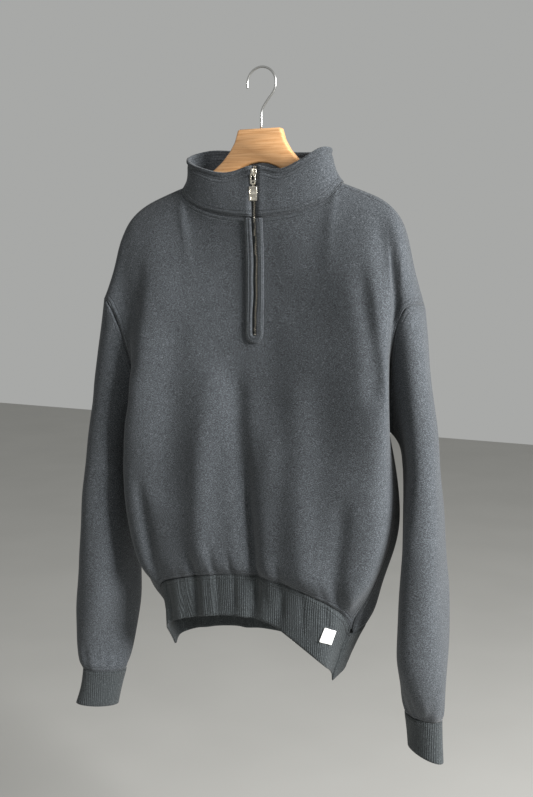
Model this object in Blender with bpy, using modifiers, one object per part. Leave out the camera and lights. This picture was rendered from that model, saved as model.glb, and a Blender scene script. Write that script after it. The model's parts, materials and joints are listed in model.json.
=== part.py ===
"""Half zip sweatshirt hanging on a flat wooden hanger.

Sizes are in millimetres and become metres when a mesh is made. +Z is up, the front faces -Y and
+X is the viewer's right. The origin is the inside top of the hook. Each piece that is cut and
sewn on is an object of its own. Cloth is a surface through level lines or rings, made a wall by
Solidify, and neighbouring pieces share the points of their seam, parted by a small gap.
"""

import math
from collections import namedtuple

import bmesh
import bpy
import numpy as np
from mathutils import Matrix

MM = 0.001

# Cloth
FLEECE = 2.0
RIB = 3.0
DOUBLED_FLEECE = 3.6
SEAM_GAP = 0.4
GATHERED_GAP = 1.2
MOST_BENT = -0.5
BEND_ROOM = 1.4
CORNER_SHARE = 1.6

# Neck, measured at the seam that joins the collar
NECK_HALF_WIDTH = 121.0
NECK_SIDE_Z = -153.0
NECK_FRONT_DROP = 46.0
NECK_BACK_DROP = 13.0
NECK_FRONT_Y = 27.0
NECK_BACK_Y = 31.0
NECK_ROUNDNESS = 0.6

# The front's centre line and the zip hang a little to the viewer's right of the hook
CENTRE_X = 4.0

# Grid of a body panel: columns run out from the centre, rows down from the shoulder
CENTRE_STRIP = 20.0
MID_SHARE = 0.52
COLUMN_STOPS = (0.0, 0.1, 0.38, 0.70, 0.86, 1.0)
NECK_COLUMN = 0.45
NECK_STEPS = 9
SHOULDER_STEPS = 9
ARMHOLE_STEPS = 8
SIDE_STEPS = 15
EDGE_DROP_POWER = 2.2

# Shoulder line from the neck point to the end of the dropped shoulder, right and left
ShoulderStop = namedtuple("ShoulderStop", "share x_right x_left y_right y_left z")
SHOULDER = (
    ShoulderStop(0.00, 121, 121, 0, 0, -156),
    ShoulderStop(0.25, 153, 155, 0, 0, -168),
    ShoulderStop(0.50, 183, 187, 0, 0, -182),
    ShoulderStop(0.66, 203, 211, 1, 0, -201),
    ShoulderStop(0.76, 212, 223, 3, 0, -224),
    ShoulderStop(0.88, 217, 230, 7, 1, -262),
    ShoulderStop(1.00, 226, 249, 10, 2, -312),
)

# Level lines of the front and the back, each from the centre out to the panel's edge.
# turn is the place on the armhole, from 0 at the shoulder to 180 under the arm, or None below it.
# The tuck lies halfway from the crest to the edge, moved out by tuck_out and back by tuck_back.
# x_shift moves the crest to the viewer's right.
Level = namedtuple(
    "Level",
    "turn z_centre z_edge y_centre y_mid x_crest y_crest tuck_out tuck_back"
    " x_right y_right x_left y_left x_shift",
)
FRONT_LEVELS = (
    Level(60, -246, None, -23, -28, 187, -31, -4, 11, None, None, None, None, 10),
    Level(120, -335, None, -23, -31, 191, -41, 1, 2, None, None, None, None, 7),
    Level(180, -425, None, -29, -38, 199, -46, 4, -1, None, None, None, None, 6),
    Level(None, -520, -556, -38, -42, 201, -43, 4, 2, 201, 8, 211, 10, -4),
    Level(None, -600, -628, -43, -45, 197, -42, 5, 2, 197, -1, 211, 9, -5),
    Level(None, -652, -700, -45, -45, 183, -40, 5, 1, 172, -5, 201, 6, -7),
    Level(None, -682, -743, -44, -43, 166, -38, 0, 1, 149, -6, 188, 4, -10),
    Level(None, -697, -768, -36, -35, 140, -31, 4, 2, 142, -6, 164, 2, -10),
)
BACK_LEVELS = (
    Level(60, -240, None, 22, 26, 175, 34, 1, -5, None, None, None, None, 0),
    Level(120, -335, None, 30, 34, 163, 46, 1, -4, None, None, None, None, 0),
    Level(180, -425, None, 40, 44, 160, 56, 2, 2, None, None, None, None, 0),
    Level(None, -520, -556, 50, 52, 179, 50, 2, 1, 201, 8, 211, 10, 0),
    Level(None, -610, -628, 52, 53, 184, 49, 8, 2, 197, -1, 211, 9, 0),
    Level(None, -680, -700, 50, 50, 166, 44, 12, 2, 172, -5, 201, 6, -4),
    Level(None, -722, -743, 46, 46, 157, 40, 15, 2, 149, -6, 188, 4, -3),
    Level(None, -738, -768, 38, 37, 140, 32, 14, 1, 142, -6, 164, 2, 2),
)

# First steps down from a panel's upper edge: down and out on the shoulder, or down at the neck
RollStep = namedtuple("RollStep", "drop out hang")
ROLL_STEPS = (RollStep(1.2, 5.0, 7.0), RollStep(6.5, 10.5, 16.0))
NECK_BLEND = 0.11

# A ring round a sleeve: its fore-and-aft length turns a little as it goes down.
# square is 1 for an oval and less for a section with flatter sides.
Ring = namedtuple("Ring", "z tilt x y long short turn square")

# Armhole rings, high at the shoulder and low under the arm
ARMHOLES = {
    1: Ring(-400, 88, 205, 22, 92, 46, 70, 1.0),
    -1: Ring(-400, 88, 221, 11, 96, 56, 74, 1.0),
}
ARMHOLE_TILT_POWER = 3.6
ARMHOLE_TURNS = (0, 26, 52, 78, 104, 126, 146, 163, 180)
UNDERARM_PART = 4.0

# Sleeve rings from below the armhole to the cuff seam, then the cuff's rings
SLEEVES = {
    1: (
        Ring(-450, 60, 218, 26, 118, 34, 69, 0.8),
        Ring(-520, 22, 227, 30, 128, 46, 67, 0.7),
        Ring(-590, 6, 233, 26, 124, 51, 75, 0.7),
        Ring(-660, 0, 238, 22, 116, 55, 81, 0.7),
        Ring(-735, 0, 240, 18, 104, 62, 84, 0.7),
        Ring(-800, 0, 239, 21, 94, 66, 76, 0.75),
        Ring(-855, 0, 236, 29, 84, 55, 52, 0.85),
        Ring(-874, 0, 236, 33, 73, 45, 34, 0.95),
        Ring(-882, 0, 236, 34, 62, 36, 26, 1.0),
    ),
    -1: (
        Ring(-450, 60, 238, 22, 112, 50, 76, 0.8),
        Ring(-520, 22, 252, 23, 118, 56, 80, 0.7),
        Ring(-590, 6, 261, 20, 118, 64, 84, 0.7),
        Ring(-660, 0, 267, 16, 112, 70, 86, 0.7),
        Ring(-735, 0, 271, 12, 104, 74, 84, 0.7),
        Ring(-805, 0, 276, 15, 108, 68, 74, 0.72),
        Ring(-860, 0, 280, 8, 88, 50, 42, 0.85),
        Ring(-881, 0, 273, -3, 78, 42, 30, 0.95),
        Ring(-889, 0, 272, -5, 67, 37, 26, 1.0),
    ),
}
CUFFS = {
    1: (Ring(-884, 0, 236, 34, 62, 36, 26, 1.0), Ring(-912, -3, 238, 35, 60, 33, 26, 1.0),
        Ring(-938, -6, 240, 35, 60, 32, 26, 1.0)),
    -1: (Ring(-891, 0, 272, -5, 67, 37, 26, 1.0), Ring(-921, 0, 278, -7, 63, 34, 26, 1.0),
         Ring(-948, 0, 285, -9, 66, 33, 26, 1.0)),
}
SLEEVE_STEPS = 15

# Rib waistband: what its lower edge does, by the angle round from the front centre
HemStop = namedtuple("HemStop", "turn spread drop")
HEM = (
    HemStop(0, 0.92, 62), HemStop(20, 0.92, 63), HemStop(45, 0.92, 79), HemStop(90, 0.86, 70),
    HemStop(135, 0.88, 62), HemStop(180, 0.92, 60), HemStop(225, 0.88, 62),
    HemStop(270, 0.84, 64), HemStop(315, 0.90, 62), HemStop(360, 0.92, 62),
)
HEM_SHIFT = -8.0
HEM_ROWS = 5

# Long folds of the body: a trough (depth above 0) or ridge that runs from its top to its foot
Fold = namedtuple("Fold", "face x_top z_top x_foot z_foot width depth")
FOLDS = (
    Fold("front", -8, -500, 14, -705, 9, 7),
    Fold("front", -95, -640, -84, -730, 8, 6),
    Fold("front", -172, -590, -130, -752, 9, 5),
    Fold("front", -52, -665, -46, -718, 6, 3),
    Fold("front", -32, -665, -18, -708, 6, 3),
    Fold("front", 52, -660, 56, -700, 6, 3),
    Fold("front", 128, -640, 146, -738, 9, 5),
    Fold("front", -76, -470, -68, -705, 22, -5),
    Fold("front", 62, -520, 86, -705, 26, -4),
    Fold("back", -120, -600, -112, -765, 10, 6),
    Fold("back", -40, -560, -34, -740, 11, 7),
    Fold("back", 44, -620, 40, -740, 9, 5),
    Fold("back", 118, -590, 108, -760, 10, 6),
)
FOLD_FADE = 60.0

# Collar: top edge from the zip's right side round the back to its left side
TopStop = namedtuple("TopStop", "turn x y z")
COLLAR_TOP = (
    TopStop(3, 12, -25, -131), TopStop(22, 41, -27, -139), TopStop(45, 76, -25, -124),
    TopStop(68, 97, -17, -110), TopStop(90, 102, 2, -110), TopStop(120, 88, 24, -112),
    TopStop(150, 50, 32, -112), TopStop(180, 0, 34, -108), TopStop(210, -52, 32, -106),
    TopStop(240, -94, 24, -105), TopStop(270, -112, -2, -115), TopStop(292, -101, -19, -124),
    TopStop(315, -76, -25, -133), TopStop(338, -38, -27, -141), TopStop(357, -4, -25, -131),
)
COLLAR_ROWS = 6
COLLAR_BULGE = 1.5
COLLAR_WAIST = 5.0

# Half zip
SLIT_HALF = 7.0
SLIT_END_Z = -363.0
PLACKET_HALF = 14.0
PLACKET_TOP_Z = -200.5
PLACKET_END_Z = -371.0
PLACKET_WALL = 1.6
PLACKET_GAP = 0.7
TAPE_TOP_Z = -131.5
TAPE_END_Z = -361.5
TAPE_HALF = 12.5
TAPE_WALL = 0.9
TEETH_TOP_Z = -145.0
TEETH_END_Z = -356.5
TEETH_HALF = 2.6
TEETH_WALL = 2.2
STOP_SIZE = (2.3, 2.4, 2.6)
TOP_STOP_Z = -133.0
BOTTOM_STOP_SIZE = (6.4, 2.8, 2.6)
BOTTOM_STOP_Z = -358.4
PIECE_GAP = 0.3

# Slider with its bridge, the link through the bridge, and the tab on the link
SLIDER_Z = -139.7
SLIDER_SIZE = (9.0, 4.6, 9.8)
SLIDER_FORWARD = 1.2
BRIDGE_SIZE = (2.2, 3.2, 9.4)
EYE_SIZE = (2.1, 7.0)
LINK_AXIS_Z = -142.0
LINK_WIDTH = 8.6
LINK_BAR = 1.3
LINK_EYE = (4.4, 8.0)
LINK_WINDOW = (3.8, 2.6)
LINK_NECK = 1.7
TAB_SIZE = (12.2, 1.8, 19.4)
TAB_DROP = 3.0
KNUCKLE_RADIUS = 1.9
KNUCKLE_BORE = 1.1
KNUCKLE_WIDTH = 2.6
TAB_PANEL = (9.2, 0.3, 8.6)
TAB_WINDOW = (6.4, 0.9, 6.0)

# Hem label: its middle by columns and rows of the waistband's grid, and how far its top edge
# falls to the viewer's right, in degrees
LABEL_SIZE = (16.0, 22.0)
LABEL_TILT = 17.0
LABEL_PLACE = (31.0, 1.9)
LABEL_WALL = 0.8
LABEL_GAP = 0.7

# Hanger: half the outline of the wood, from the middle of its top round to its arch
WOOD_THICKNESS = 12.0
WOOD_ROUNDING = 2.8
WOOD_OUTLINE = (
    (30, -80), (33, -81.5), (34.5, -86), (38, -97), (46, -110), (57, -122), (70, -132.5),
    (92, -146), (108, -156), (121, -164), (136, -170), (150, -174.5), (180, -188),
    (193, -196), (199, -204), (199, -211), (193, -215), (180, -212), (150, -199), (120, -184), (90, -169), (62, -154), (42, -141),
    (26, -131.5), (13, -127),
)
WOOD_ARCH_Z = -125.5
WIRE_RADIUS = 1.75
HOOK_CENTRE = (1.5, -20.0)
HOOK_RADIUS = 21.75
HOOK_FROM = -50
HOOK_TO = 195
STEM = ((1, -79.5), (1, -66), (1.3, -58), (4, -51), (9, -44.5))

PARTS = "half_zip_sweatshirt"
CUTTERS = "cutters"


def clear_scene():
    for old in list(bpy.data.objects):
        bpy.data.objects.remove(old, do_unlink=True)


def material(name, colour, roughness, metallic=0.0):
    made = bpy.data.materials.new(name)
    made.use_nodes = True
    shader = made.node_tree.nodes["Principled BSDF"]
    shader.inputs["Base Color"].default_value = (*colour, 1.0)
    shader.inputs["Roughness"].default_value = roughness
    shader.inputs["Metallic"].default_value = metallic
    made.diffuse_color = (*colour, 1.0)
    return made


def smooth_through(stops, values, at):
    """A smooth curve through the values at their stops, read at the places given."""
    stops = np.asarray(stops, float)
    values = np.asarray(values, float)
    at = np.clip(np.asarray(at, float), stops[0], stops[-1])
    slopes = np.gradient(values, stops, axis=0)
    left = np.clip(np.searchsorted(stops, at, side="right") - 1, 0, len(stops) - 2)
    span = stops[left + 1] - stops[left]
    share = (at - stops[left]) / span
    shape = (-1,) + (1,) * (values.ndim - 1)
    share, span = share.reshape(shape), span.reshape(shape)
    far = share * share * (3.0 - 2.0 * share)
    rise = share * (1.0 - share) ** 2 * slopes[left] - share**2 * (1.0 - share) * slopes[left + 1]
    return values[left] * (1.0 - far) + values[left + 1] * far + rise * span


def mesh_object(name, points, faces, finish):
    mesh = bpy.data.meshes.new(name)
    mesh.from_pydata([tuple(p) for p in np.asarray(points) * MM], [], faces)
    mesh.update()
    made = bpy.data.objects.new(name, mesh)
    made.data.materials.append(finish)
    bpy.data.collections[PARTS].objects.link(made)
    mesh.shade_smooth()
    mesh.set_sharp_from_angle(angle=math.radians(40))
    return made


def cloth(name, grid, wall, finish, closed=False, skip=None):
    """A wall of cloth whose middle surface passes through a grid of points."""
    rows, columns = grid.shape[:2]
    faces = []
    for r in range(rows - 1):
        for c in range(columns if closed else columns - 1):
            if skip and skip(r, c):
                continue
            n = (c + 1) % columns
            faces.append((r * columns + c, r * columns + n,
                          (r + 1) * columns + n, (r + 1) * columns + c))
    made = mesh_object(name, grid.reshape(-1, 3), faces, finish)
    drop_loose_points(made.data)
    solidify = made.modifiers.new("wall", "SOLIDIFY")
    solidify.thickness = wall * MM
    solidify.offset = 0.0
    solidify.use_even_offset = False
    return made


def drop_loose_points(mesh):
    form = bmesh.new()
    form.from_mesh(mesh)
    loose = [v for v in form.verts if not v.link_faces]
    bmesh.ops.delete(form, geom=loose, context="VERTS")
    form.to_mesh(mesh)
    form.free()


def drawn_back(seam, own, other, wall, gap=SEAM_GAP):
    """Seam points drawn back into their own piece, further where it meets the other at a bend."""
    inward = own - seam
    inward = inward / np.linalg.norm(inward, axis=-1, keepdims=True)
    beyond = other - seam
    beyond = beyond / np.linalg.norm(beyond, axis=-1, keepdims=True)
    straight = np.clip(-(inward * beyond).sum(axis=-1, keepdims=True), MOST_BENT, 1.0)
    bend = np.arccos(straight)
    return seam + inward * (gap / 2.0 + BEND_ROOM * wall / 2.0 * np.tan(bend / 2.0))


# ---- Body ----


def neck_seam(turn, lift=0.0):
    """The neck seam at an angle in degrees round from the front centre, towards +X."""
    angle = np.radians(turn)
    front = np.cos(angle) > 0
    reach = np.abs(np.cos(angle))
    y = np.where(front, -NECK_FRONT_Y, NECK_BACK_Y) * reach**NECK_ROUNDNESS
    drop = np.where(front, NECK_FRONT_DROP, NECK_BACK_DROP) * reach
    x = NECK_HALF_WIDTH * np.sin(angle) + np.where(front, CENTRE_X, 0.0) * reach**2
    return np.stack([x, y, NECK_SIDE_Z - drop + lift], axis=-1)


def oval(ring, turns, side):
    """A ring's points; turns are 0 outward, 90 in front, 180 inward and 270 behind."""
    angle = np.radians(turns - ring.turn)
    axis = math.radians(ring.turn)
    cos, sin = np.cos(angle), np.sin(angle)
    along = np.sign(cos) * np.abs(cos) ** ring.square * ring.long / 2.0
    across = np.sign(sin) * np.abs(sin) ** ring.square * ring.short / 2.0
    out = along * math.cos(axis) - across * math.sin(axis)
    fore = along * math.sin(axis) + across * math.cos(axis)
    z = ring.z + ring.tilt * np.cos(np.radians(turns))
    return np.stack([(ring.x + out) * side, ring.y - fore, z], axis=-1)


def armhole(turn, side):
    """The armhole seam: it crosses the sleeve high in front and dives down under the arm."""
    ring = ARMHOLES[side]
    points = oval(ring, turn, side)
    fall = ((1.0 - np.cos(np.radians(turn))) / 2.0) ** ARMHOLE_TILT_POWER
    points[..., 2] = ring.z + ring.tilt * (1.0 - 2.0 * fall)
    return points


def body_edge(turn, side):
    """Where a body panel ends at the armhole: parted from the sleeve, most under the arm."""
    points = armhole(turn, side)
    part = UNDERARM_PART * (np.abs(180.0 - np.abs(180.0 - turn)) / 180.0) ** 2
    points[..., 0] -= side * part
    return points


def columns_of(neck_steps, shoulder_steps):
    """Column places of half a panel, from the centre out, with one on the neck point."""
    slit = SLIT_HALF / CENTRE_STRIP * COLUMN_STOPS[1]
    inner = np.linspace(slit, NECK_COLUMN, neck_steps)
    outer = np.linspace(NECK_COLUMN, 1.0, shoulder_steps + 1)[1:]
    return np.concatenate([[0.0], inner, outer])


def neck_turn(columns):
    """The angle round the neck seam of a panel's columns; the slit's edge keeps its width."""
    slit_turn = math.degrees(math.asin(SLIT_HALF / NECK_HALF_WIDTH))
    return np.interp(columns, (0.0, columns[1], NECK_COLUMN), (0.0, slit_turn, 90.0))


def top_line(columns, side, front):
    """The upper edge of half a panel: the neckline, then the shoulder seam."""
    turn = neck_turn(columns) * side
    line = neck_seam(turn if front else 180.0 - turn)
    share = np.clip((columns - NECK_COLUMN) / (1.0 - NECK_COLUMN), 0.0, 1.0)
    if side > 0:
        stops = [[s.x_right, s.y_right, s.z] for s in SHOULDER]
    else:
        stops = [[-s.x_left, s.y_left, s.z] for s in SHOULDER]
    stops[-1] = list(armhole(np.array(0.0), side))
    shoulder = smooth_through([s.share for s in SHOULDER], stops, share)
    return np.where((columns >= NECK_COLUMN)[:, None], shoulder, line)


def level_line(level, columns, side, front):
    """One level of half a panel, from the centre out to its edge."""
    if level.turn is None:
        x, y = (level.x_right, level.y_right) if side > 0 else (-level.x_left, level.y_left)
        edge = np.array([x, y, level.z_edge], float)
    else:
        edge = body_edge(np.array(float(level.turn if front else 360 - level.turn)), side)
    centre = CENTRE_X if front else 0.0
    xy = [
        (centre, level.y_centre),
        (centre + CENTRE_STRIP * side, level.y_centre),
        (level.x_crest * MID_SHARE * side, level.y_mid),
        (level.x_crest * side + level.x_shift, level.y_crest),
        (edge[0], edge[1]),
    ]
    tuck = [(xy[3][0] + edge[0]) / 2.0 + level.tuck_out * side,
            (xy[3][1] + edge[1]) / 2.0 + level.tuck_back]
    xy.insert(4, tuck)
    line = smooth_through(COLUMN_STOPS, xy, columns)
    z = level.z_centre + (edge[2] - level.z_centre) * columns**EDGE_DROP_POWER
    return np.column_stack([line, z])


def half_panel(side, front, columns):
    """Half a body panel as a grid, from the shoulder to the hem seam."""
    levels = FRONT_LEVELS if front else BACK_LEVELS
    outward = -1.0 if front else 1.0
    top = top_line(columns, side, front)
    lines = [top]
    below = level_line(levels[0], columns, side, front)
    on_shoulder = np.clip(1.0 + (columns - NECK_COLUMN) / NECK_BLEND, 0.0, 1.0)[:, None]
    fall = np.abs(below[:, 2] - top[:, 2])[:, None]
    for step in ROLL_STEPS:
        rolled = top + np.array([0.0, outward * step.out, -step.drop])
        hanging = top + (below - top) * np.minimum(step.hang / fall, 0.5)
        lines.append(rolled * on_shoulder + hanging * (1.0 - on_shoulder))
    lines += [below] + [level_line(level, columns, side, front) for level in levels[1:]]
    under = 2 + len(ROLL_STEPS)
    stops = [0.0, 0.06, 0.16] + list(np.linspace(1.0, 3.0, 3)) + list(np.arange(4.0, 9.0))
    turns = np.array(ARMHOLE_TURNS, float)
    rows_above = np.interp(turns, [0.0, 60.0, 120.0, 180.0], [0.0, 1.0, 2.0, 3.0])
    rows_above[1:3] = (stops[1], 0.42)
    rows_below = 3.0 + 5.0 * np.arange(1, SIDE_STEPS + 1) / SIDE_STEPS
    rows = np.concatenate([rows_above, rows_below])
    grid = smooth_through(stops, np.array(lines), rows)
    seam = body_edge(turns if front else 360.0 - turns, side)
    edges = [seam[-1]] + [lines[place][-1] for place in range(3 + len(ROLL_STEPS), len(lines))]
    side_seam = smooth_through(stops[-len(edges):], edges, rows_below)
    seam = np.concatenate([seam, side_seam])
    near_seam = np.clip((columns - COLUMN_STOPS[3]) / (1.0 - COLUMN_STOPS[3]), 0.0, 1.0)
    grid += (seam - grid[:, -1])[:, None, :] * near_seam[None, :, None]
    return grid, turns


def folded(grid, face):
    """The panel with its long folds pressed in or raised."""
    pressed = grid.copy()
    outward = -1.0 if face == "front" else 1.0
    for fold in FOLDS:
        if fold.face != face:
            continue
        share = np.clip((grid[..., 2] - fold.z_top) / (fold.z_foot - fold.z_top), 0.0, 1.0)
        line = fold.x_top + (fold.x_foot - fold.x_top) * share
        across = np.exp(-(((grid[..., 0] - line) / fold.width) ** 2))
        below = np.clip((fold.z_top - grid[..., 2]) / FOLD_FADE, 0.0, 1.0)
        pressed[..., 1] -= outward * fold.depth * across * below**2 * (3.0 - 2.0 * below)
    pressed[:, [0, -1]] = grid[:, [0, -1]]
    return pressed


def panel(front):
    """A whole body panel, from its left edge to its right edge."""
    columns = columns_of(NECK_STEPS, SHOULDER_STEPS)
    right, turns = half_panel(1, front, columns)
    left, turns = half_panel(-1, front, columns)
    grid = np.concatenate([left[:, :0:-1], right], axis=1)
    return folded(grid, "front" if front else "back"), turns


def neck_columns(grid):
    """Which points of a panel's upper edge are on the neckline."""
    middle = grid.shape[1] // 2
    return np.abs(np.arange(grid.shape[1]) - middle) <= NECK_STEPS


def parted(grid, facing, sleeve_rows, hem_row):
    """A panel drawn back from the facing panel, both sleeves, the collar and the waistband."""
    on_shoulder = np.abs(np.arange(grid.shape[1]) - grid.shape[1] // 2) >= NECK_STEPS
    above = np.where(on_shoulder[:, None], facing[1], grid[0] + (0.0, 0.0, 20.0))
    moves = np.zeros_like(grid)
    moves[0] += drawn_back(grid[0], grid[1], above, FLEECE) - grid[0]
    moves[-1] += drawn_back(grid[-1], grid[-2], hem_row, RIB, GATHERED_GAP) - grid[-1]
    for side, column, inner in ((-1, 0, 1), (1, -1, -2)):
        beyond = facing[:, inner].copy()
        beyond[: ARMHOLE_STEPS + 1] = sleeve_rows[side]
        edge = grid[:, column]
        moves[:, column] += drawn_back(edge, grid[:, inner], beyond, FLEECE) - edge
        moves[-1, column] *= CORNER_SHARE
    return grid + moves


def build_body(front_grid, back_grid, sleeves, hem, finish):
    middle = front_grid.shape[1] // 2
    steps = ARMHOLE_STEPS + 1
    fore = {side: sleeves[side][1, :steps] for side in (1, -1)}
    aft = {side: np.roll(sleeves[side][1], -1, axis=0)[::-1][:steps] for side in (1, -1)}
    front = parted(front_grid, back_grid, fore, hem[1, : front_grid.shape[1]])
    back_hem = np.concatenate([hem[1, :1], hem[1, : front_grid.shape[1] - 2 : -1]])
    back = parted(back_grid, front_grid, aft, back_hem)
    slit_row = int(np.argmin(np.abs(front[:, middle, 2] - SLIT_END_Z)))
    front[slit_row, middle - 1 : middle + 2, 2] = SLIT_END_Z

    def in_slit(row, column):
        return row < slit_row and column in (middle - 1, middle)

    cloth("front_panel", front, FLEECE, finish, skip=in_slit)
    cloth("back_panel", back, FLEECE, finish)


# ---- Sleeves and cuffs ----


def sleeve_grid(side, turns):
    """A sleeve from the armhole ring to the cuff seam."""
    rings = [armhole(turns, side)] + [oval(ring, turns, side) for ring in SLEEVES[side]]
    rings = np.array(rings)
    middles = rings.mean(axis=1)
    stops = np.concatenate([[0.0], np.cumsum(np.linalg.norm(np.diff(middles, axis=0), axis=1))])
    rows = np.concatenate([
        np.linspace(0.0, stops[-4], SLEEVE_STEPS - 3),
        stops[-4:][1:],
    ])
    return smooth_through(stops, rings, rows)


def build_sleeve(name, side, grid, front_grid, back_grid, finish):
    """The sleeve, drawn back a little from the panels' edges round the armhole."""
    column = -2 if side > 0 else 1
    around = np.concatenate([
        front_grid[: ARMHOLE_STEPS + 1, column],
        back_grid[ARMHOLE_STEPS - 1 : 0 : -1, column],
    ])
    grid = grid.copy()
    grid[0] = drawn_back(grid[0], grid[1], around, FLEECE)
    cloth(name, grid, FLEECE, finish, closed=True)


def build_cuff(name, side, turns, finish):
    rings = np.array([oval(ring, turns, side) for ring in CUFFS[side]])
    grid = smooth_through([0.0, 1.0, 2.0], rings, np.linspace(0.0, 2.0, 5))
    cloth(name, grid, RIB, finish, closed=True)


# ---- Waistband ----


def hem_grid(front_foot, back_foot):
    """The rib waistband, from the ring of points at its seam down to its folded edge."""
    ring = np.concatenate([front_foot, back_foot[-2:0:-1]])
    turn = np.degrees(np.arctan2(ring[:, 0], -(ring[:, 1]) * 3.4)) % 360.0
    stops = [s.turn for s in HEM]
    spread = smooth_through(stops, [s.spread for s in HEM], turn)
    drop = smooth_through(stops, [s.drop for s in HEM], turn)
    rows = []
    for share in np.linspace(0.0, 1.0, HEM_ROWS):
        row = ring.copy()
        inward = 1.0 + (spread - 1.0) * share**0.8
        row[:, 0] = ring[:, 0] * inward + HEM_SHIFT * share
        row[:, 1] = ring[:, 1] * (1.0 + (spread - 1.0) * share * 0.5)
        row[:, 2] -= drop * share
        rows.append(row)
    return np.array(rows)


def build_hem(hem, front_grid, back_grid, finish):
    above = np.concatenate([front_grid[-2], back_grid[-2][-2:0:-1]])
    grid = hem.copy()
    grid[0] = drawn_back(grid[0], grid[1], above, RIB, GATHERED_GAP)
    cloth("hem_rib", grid, RIB, finish, closed=True)


# ---- Collar ----


def collar_turns():
    """Angles round the neck seam at which the panels have their points, from zip to zip."""
    quarter = neck_turn(columns_of(NECK_STEPS, SHOULDER_STEPS)[: NECK_STEPS + 1])
    half = np.concatenate([quarter[1:], 180.0 - quarter[-2::-1]])
    return np.concatenate([half, 360.0 - half[-2::-1]])


def collar_grid(turn, rows=COLLAR_ROWS):
    """The collar from the neck seam up to its folded top edge, open at the zip."""
    top = smooth_through([s.turn for s in COLLAR_TOP], [s[1:] for s in COLLAR_TOP], turn)
    foot = neck_seam(turn)
    share = np.linspace(0.0, 1.0, rows + 1)[:, None, None]
    grid = foot + (top - foot) * share
    out = np.stack([np.sin(np.radians(turn)), -np.cos(np.radians(turn)), 0 * turn], axis=-1)
    sides = np.abs(np.sin(np.radians(turn)))[None, :, None] ** 4
    swell = COLLAR_BULGE * (1.0 - sides) - COLLAR_WAIST * sides
    return grid + out * swell * np.sin(math.pi * share**0.7)


def build_collar(front_grid, back_grid, finish):
    """The collar, drawn back from the panels round the neck."""
    grid = collar_grid(collar_turns())
    front_fall = front_grid[1][neck_columns(front_grid)]
    back_fall = back_grid[1][neck_columns(back_grid)]
    half = NECK_STEPS
    below = np.concatenate([front_fall[half + 1 :], back_fall[-2:0:-1], front_fall[:half]])
    grid[0] = drawn_back(grid[0], grid[1], below, DOUBLED_FLEECE)
    cloth("collar", grid, DOUBLED_FLEECE, finish)


# ---- Half zip ----


def front_y(front_grid, z):
    """How far forward the front panel's centre lies at a height."""
    middle = front_grid.shape[1] // 2
    heights = front_grid[::-1, middle, 2]
    return np.interp(z, heights, front_grid[::-1, middle, 1])


def zip_line(front_grid, z):
    """Forward place of the zip: on the front panel, then up the collar's front."""
    seam_z = NECK_SIDE_Z - NECK_FRONT_DROP
    top = COLLAR_TOP[0]
    up = np.clip((z - seam_z) / (top.z - seam_z), 0.0, 1.0)
    on_collar = -NECK_FRONT_Y + (top.y + NECK_FRONT_Y) * up
    return np.where(z > seam_z, on_collar, front_y(front_grid, z))


def build_zip(front_grid, tape, metal):
    """Tapes behind the slit, the rows of teeth as plain strips, and the stops at their ends."""
    behind = FLEECE / 2 + PIECE_GAP + TAPE_WALL / 2
    thicker = (DOUBLED_FLEECE - FLEECE) / 2
    for side, word in ((-1, "left"), (1, "right")):
        z = np.linspace(TAPE_TOP_Z, TAPE_END_Z, 15)
        y = zip_line(front_grid, z) + behind + thicker
        strip("zip_tape_" + word, side, TAPE_HALF, z, y, TAPE_WALL, tape)
        z = np.linspace(TEETH_TOP_Z, TEETH_END_Z, 13)
        y = zip_line(front_grid, z) + behind + thicker - teeth_forward()
        strip("zip_teeth_" + word, side, TEETH_HALF, z, y, TEETH_WALL, metal)
        y = float(zip_line(front_grid, TOP_STOP_Z)) + behind + thicker - teeth_forward()
        centre = (CENTRE_X + side * (PIECE_GAP + STOP_SIZE[0] / 2), y, TOP_STOP_Z)
        block("zip_stop_" + word, centre, STOP_SIZE, metal, 0.5)
    y = float(zip_line(front_grid, BOTTOM_STOP_Z)) + behind + thicker - teeth_forward()
    block("zip_bottom_stop", (CENTRE_X, y - 0.3, BOTTOM_STOP_Z), BOTTOM_STOP_SIZE, metal, 0.6)


def teeth_forward():
    """How far the middle of the teeth lies in front of the middle of the tape."""
    return TAPE_WALL / 2 + PIECE_GAP + TEETH_WALL / 2


def strip(name, side, half_width, z_values, y_values, wall, finish):
    inner, outer = side * PIECE_GAP / 2, side * half_width
    grid = np.array([[(CENTRE_X + inner, y, z), (CENTRE_X + outer, y, z)]
                     for z, y in zip(z_values, y_values)])
    return cloth(name, grid, wall, finish)


def build_placket(front_grid, fabric):
    """A welt that runs down one side of the slit, round its foot and up the other."""
    foot_z = PLACKET_END_Z + PLACKET_HALF
    heights = np.linspace(PLACKET_TOP_Z, foot_z, 10)
    bends = np.radians(np.linspace(180, 360, 9)[1:-1])
    spine = [(-1.0, 0.0, z) for z in heights]
    spine += [(math.cos(bend), math.sin(bend), foot_z) for bend in bends]
    spine += [(1.0, 0.0, z) for z in heights[::-1]]
    out = FLEECE / 2 + PLACKET_GAP + PLACKET_WALL / 2
    rows = []
    for across, down, z in spine:
        row = [(CENTRE_X + half * across, z + half * down) for half in (SLIT_HALF, PLACKET_HALF)]
        rows.append([(x, float(front_y(front_grid, height)) - out, height) for x, height in row])
    cloth("placket", np.array(rows), PLACKET_WALL, fabric)


# ---- Hardware ----


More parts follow.
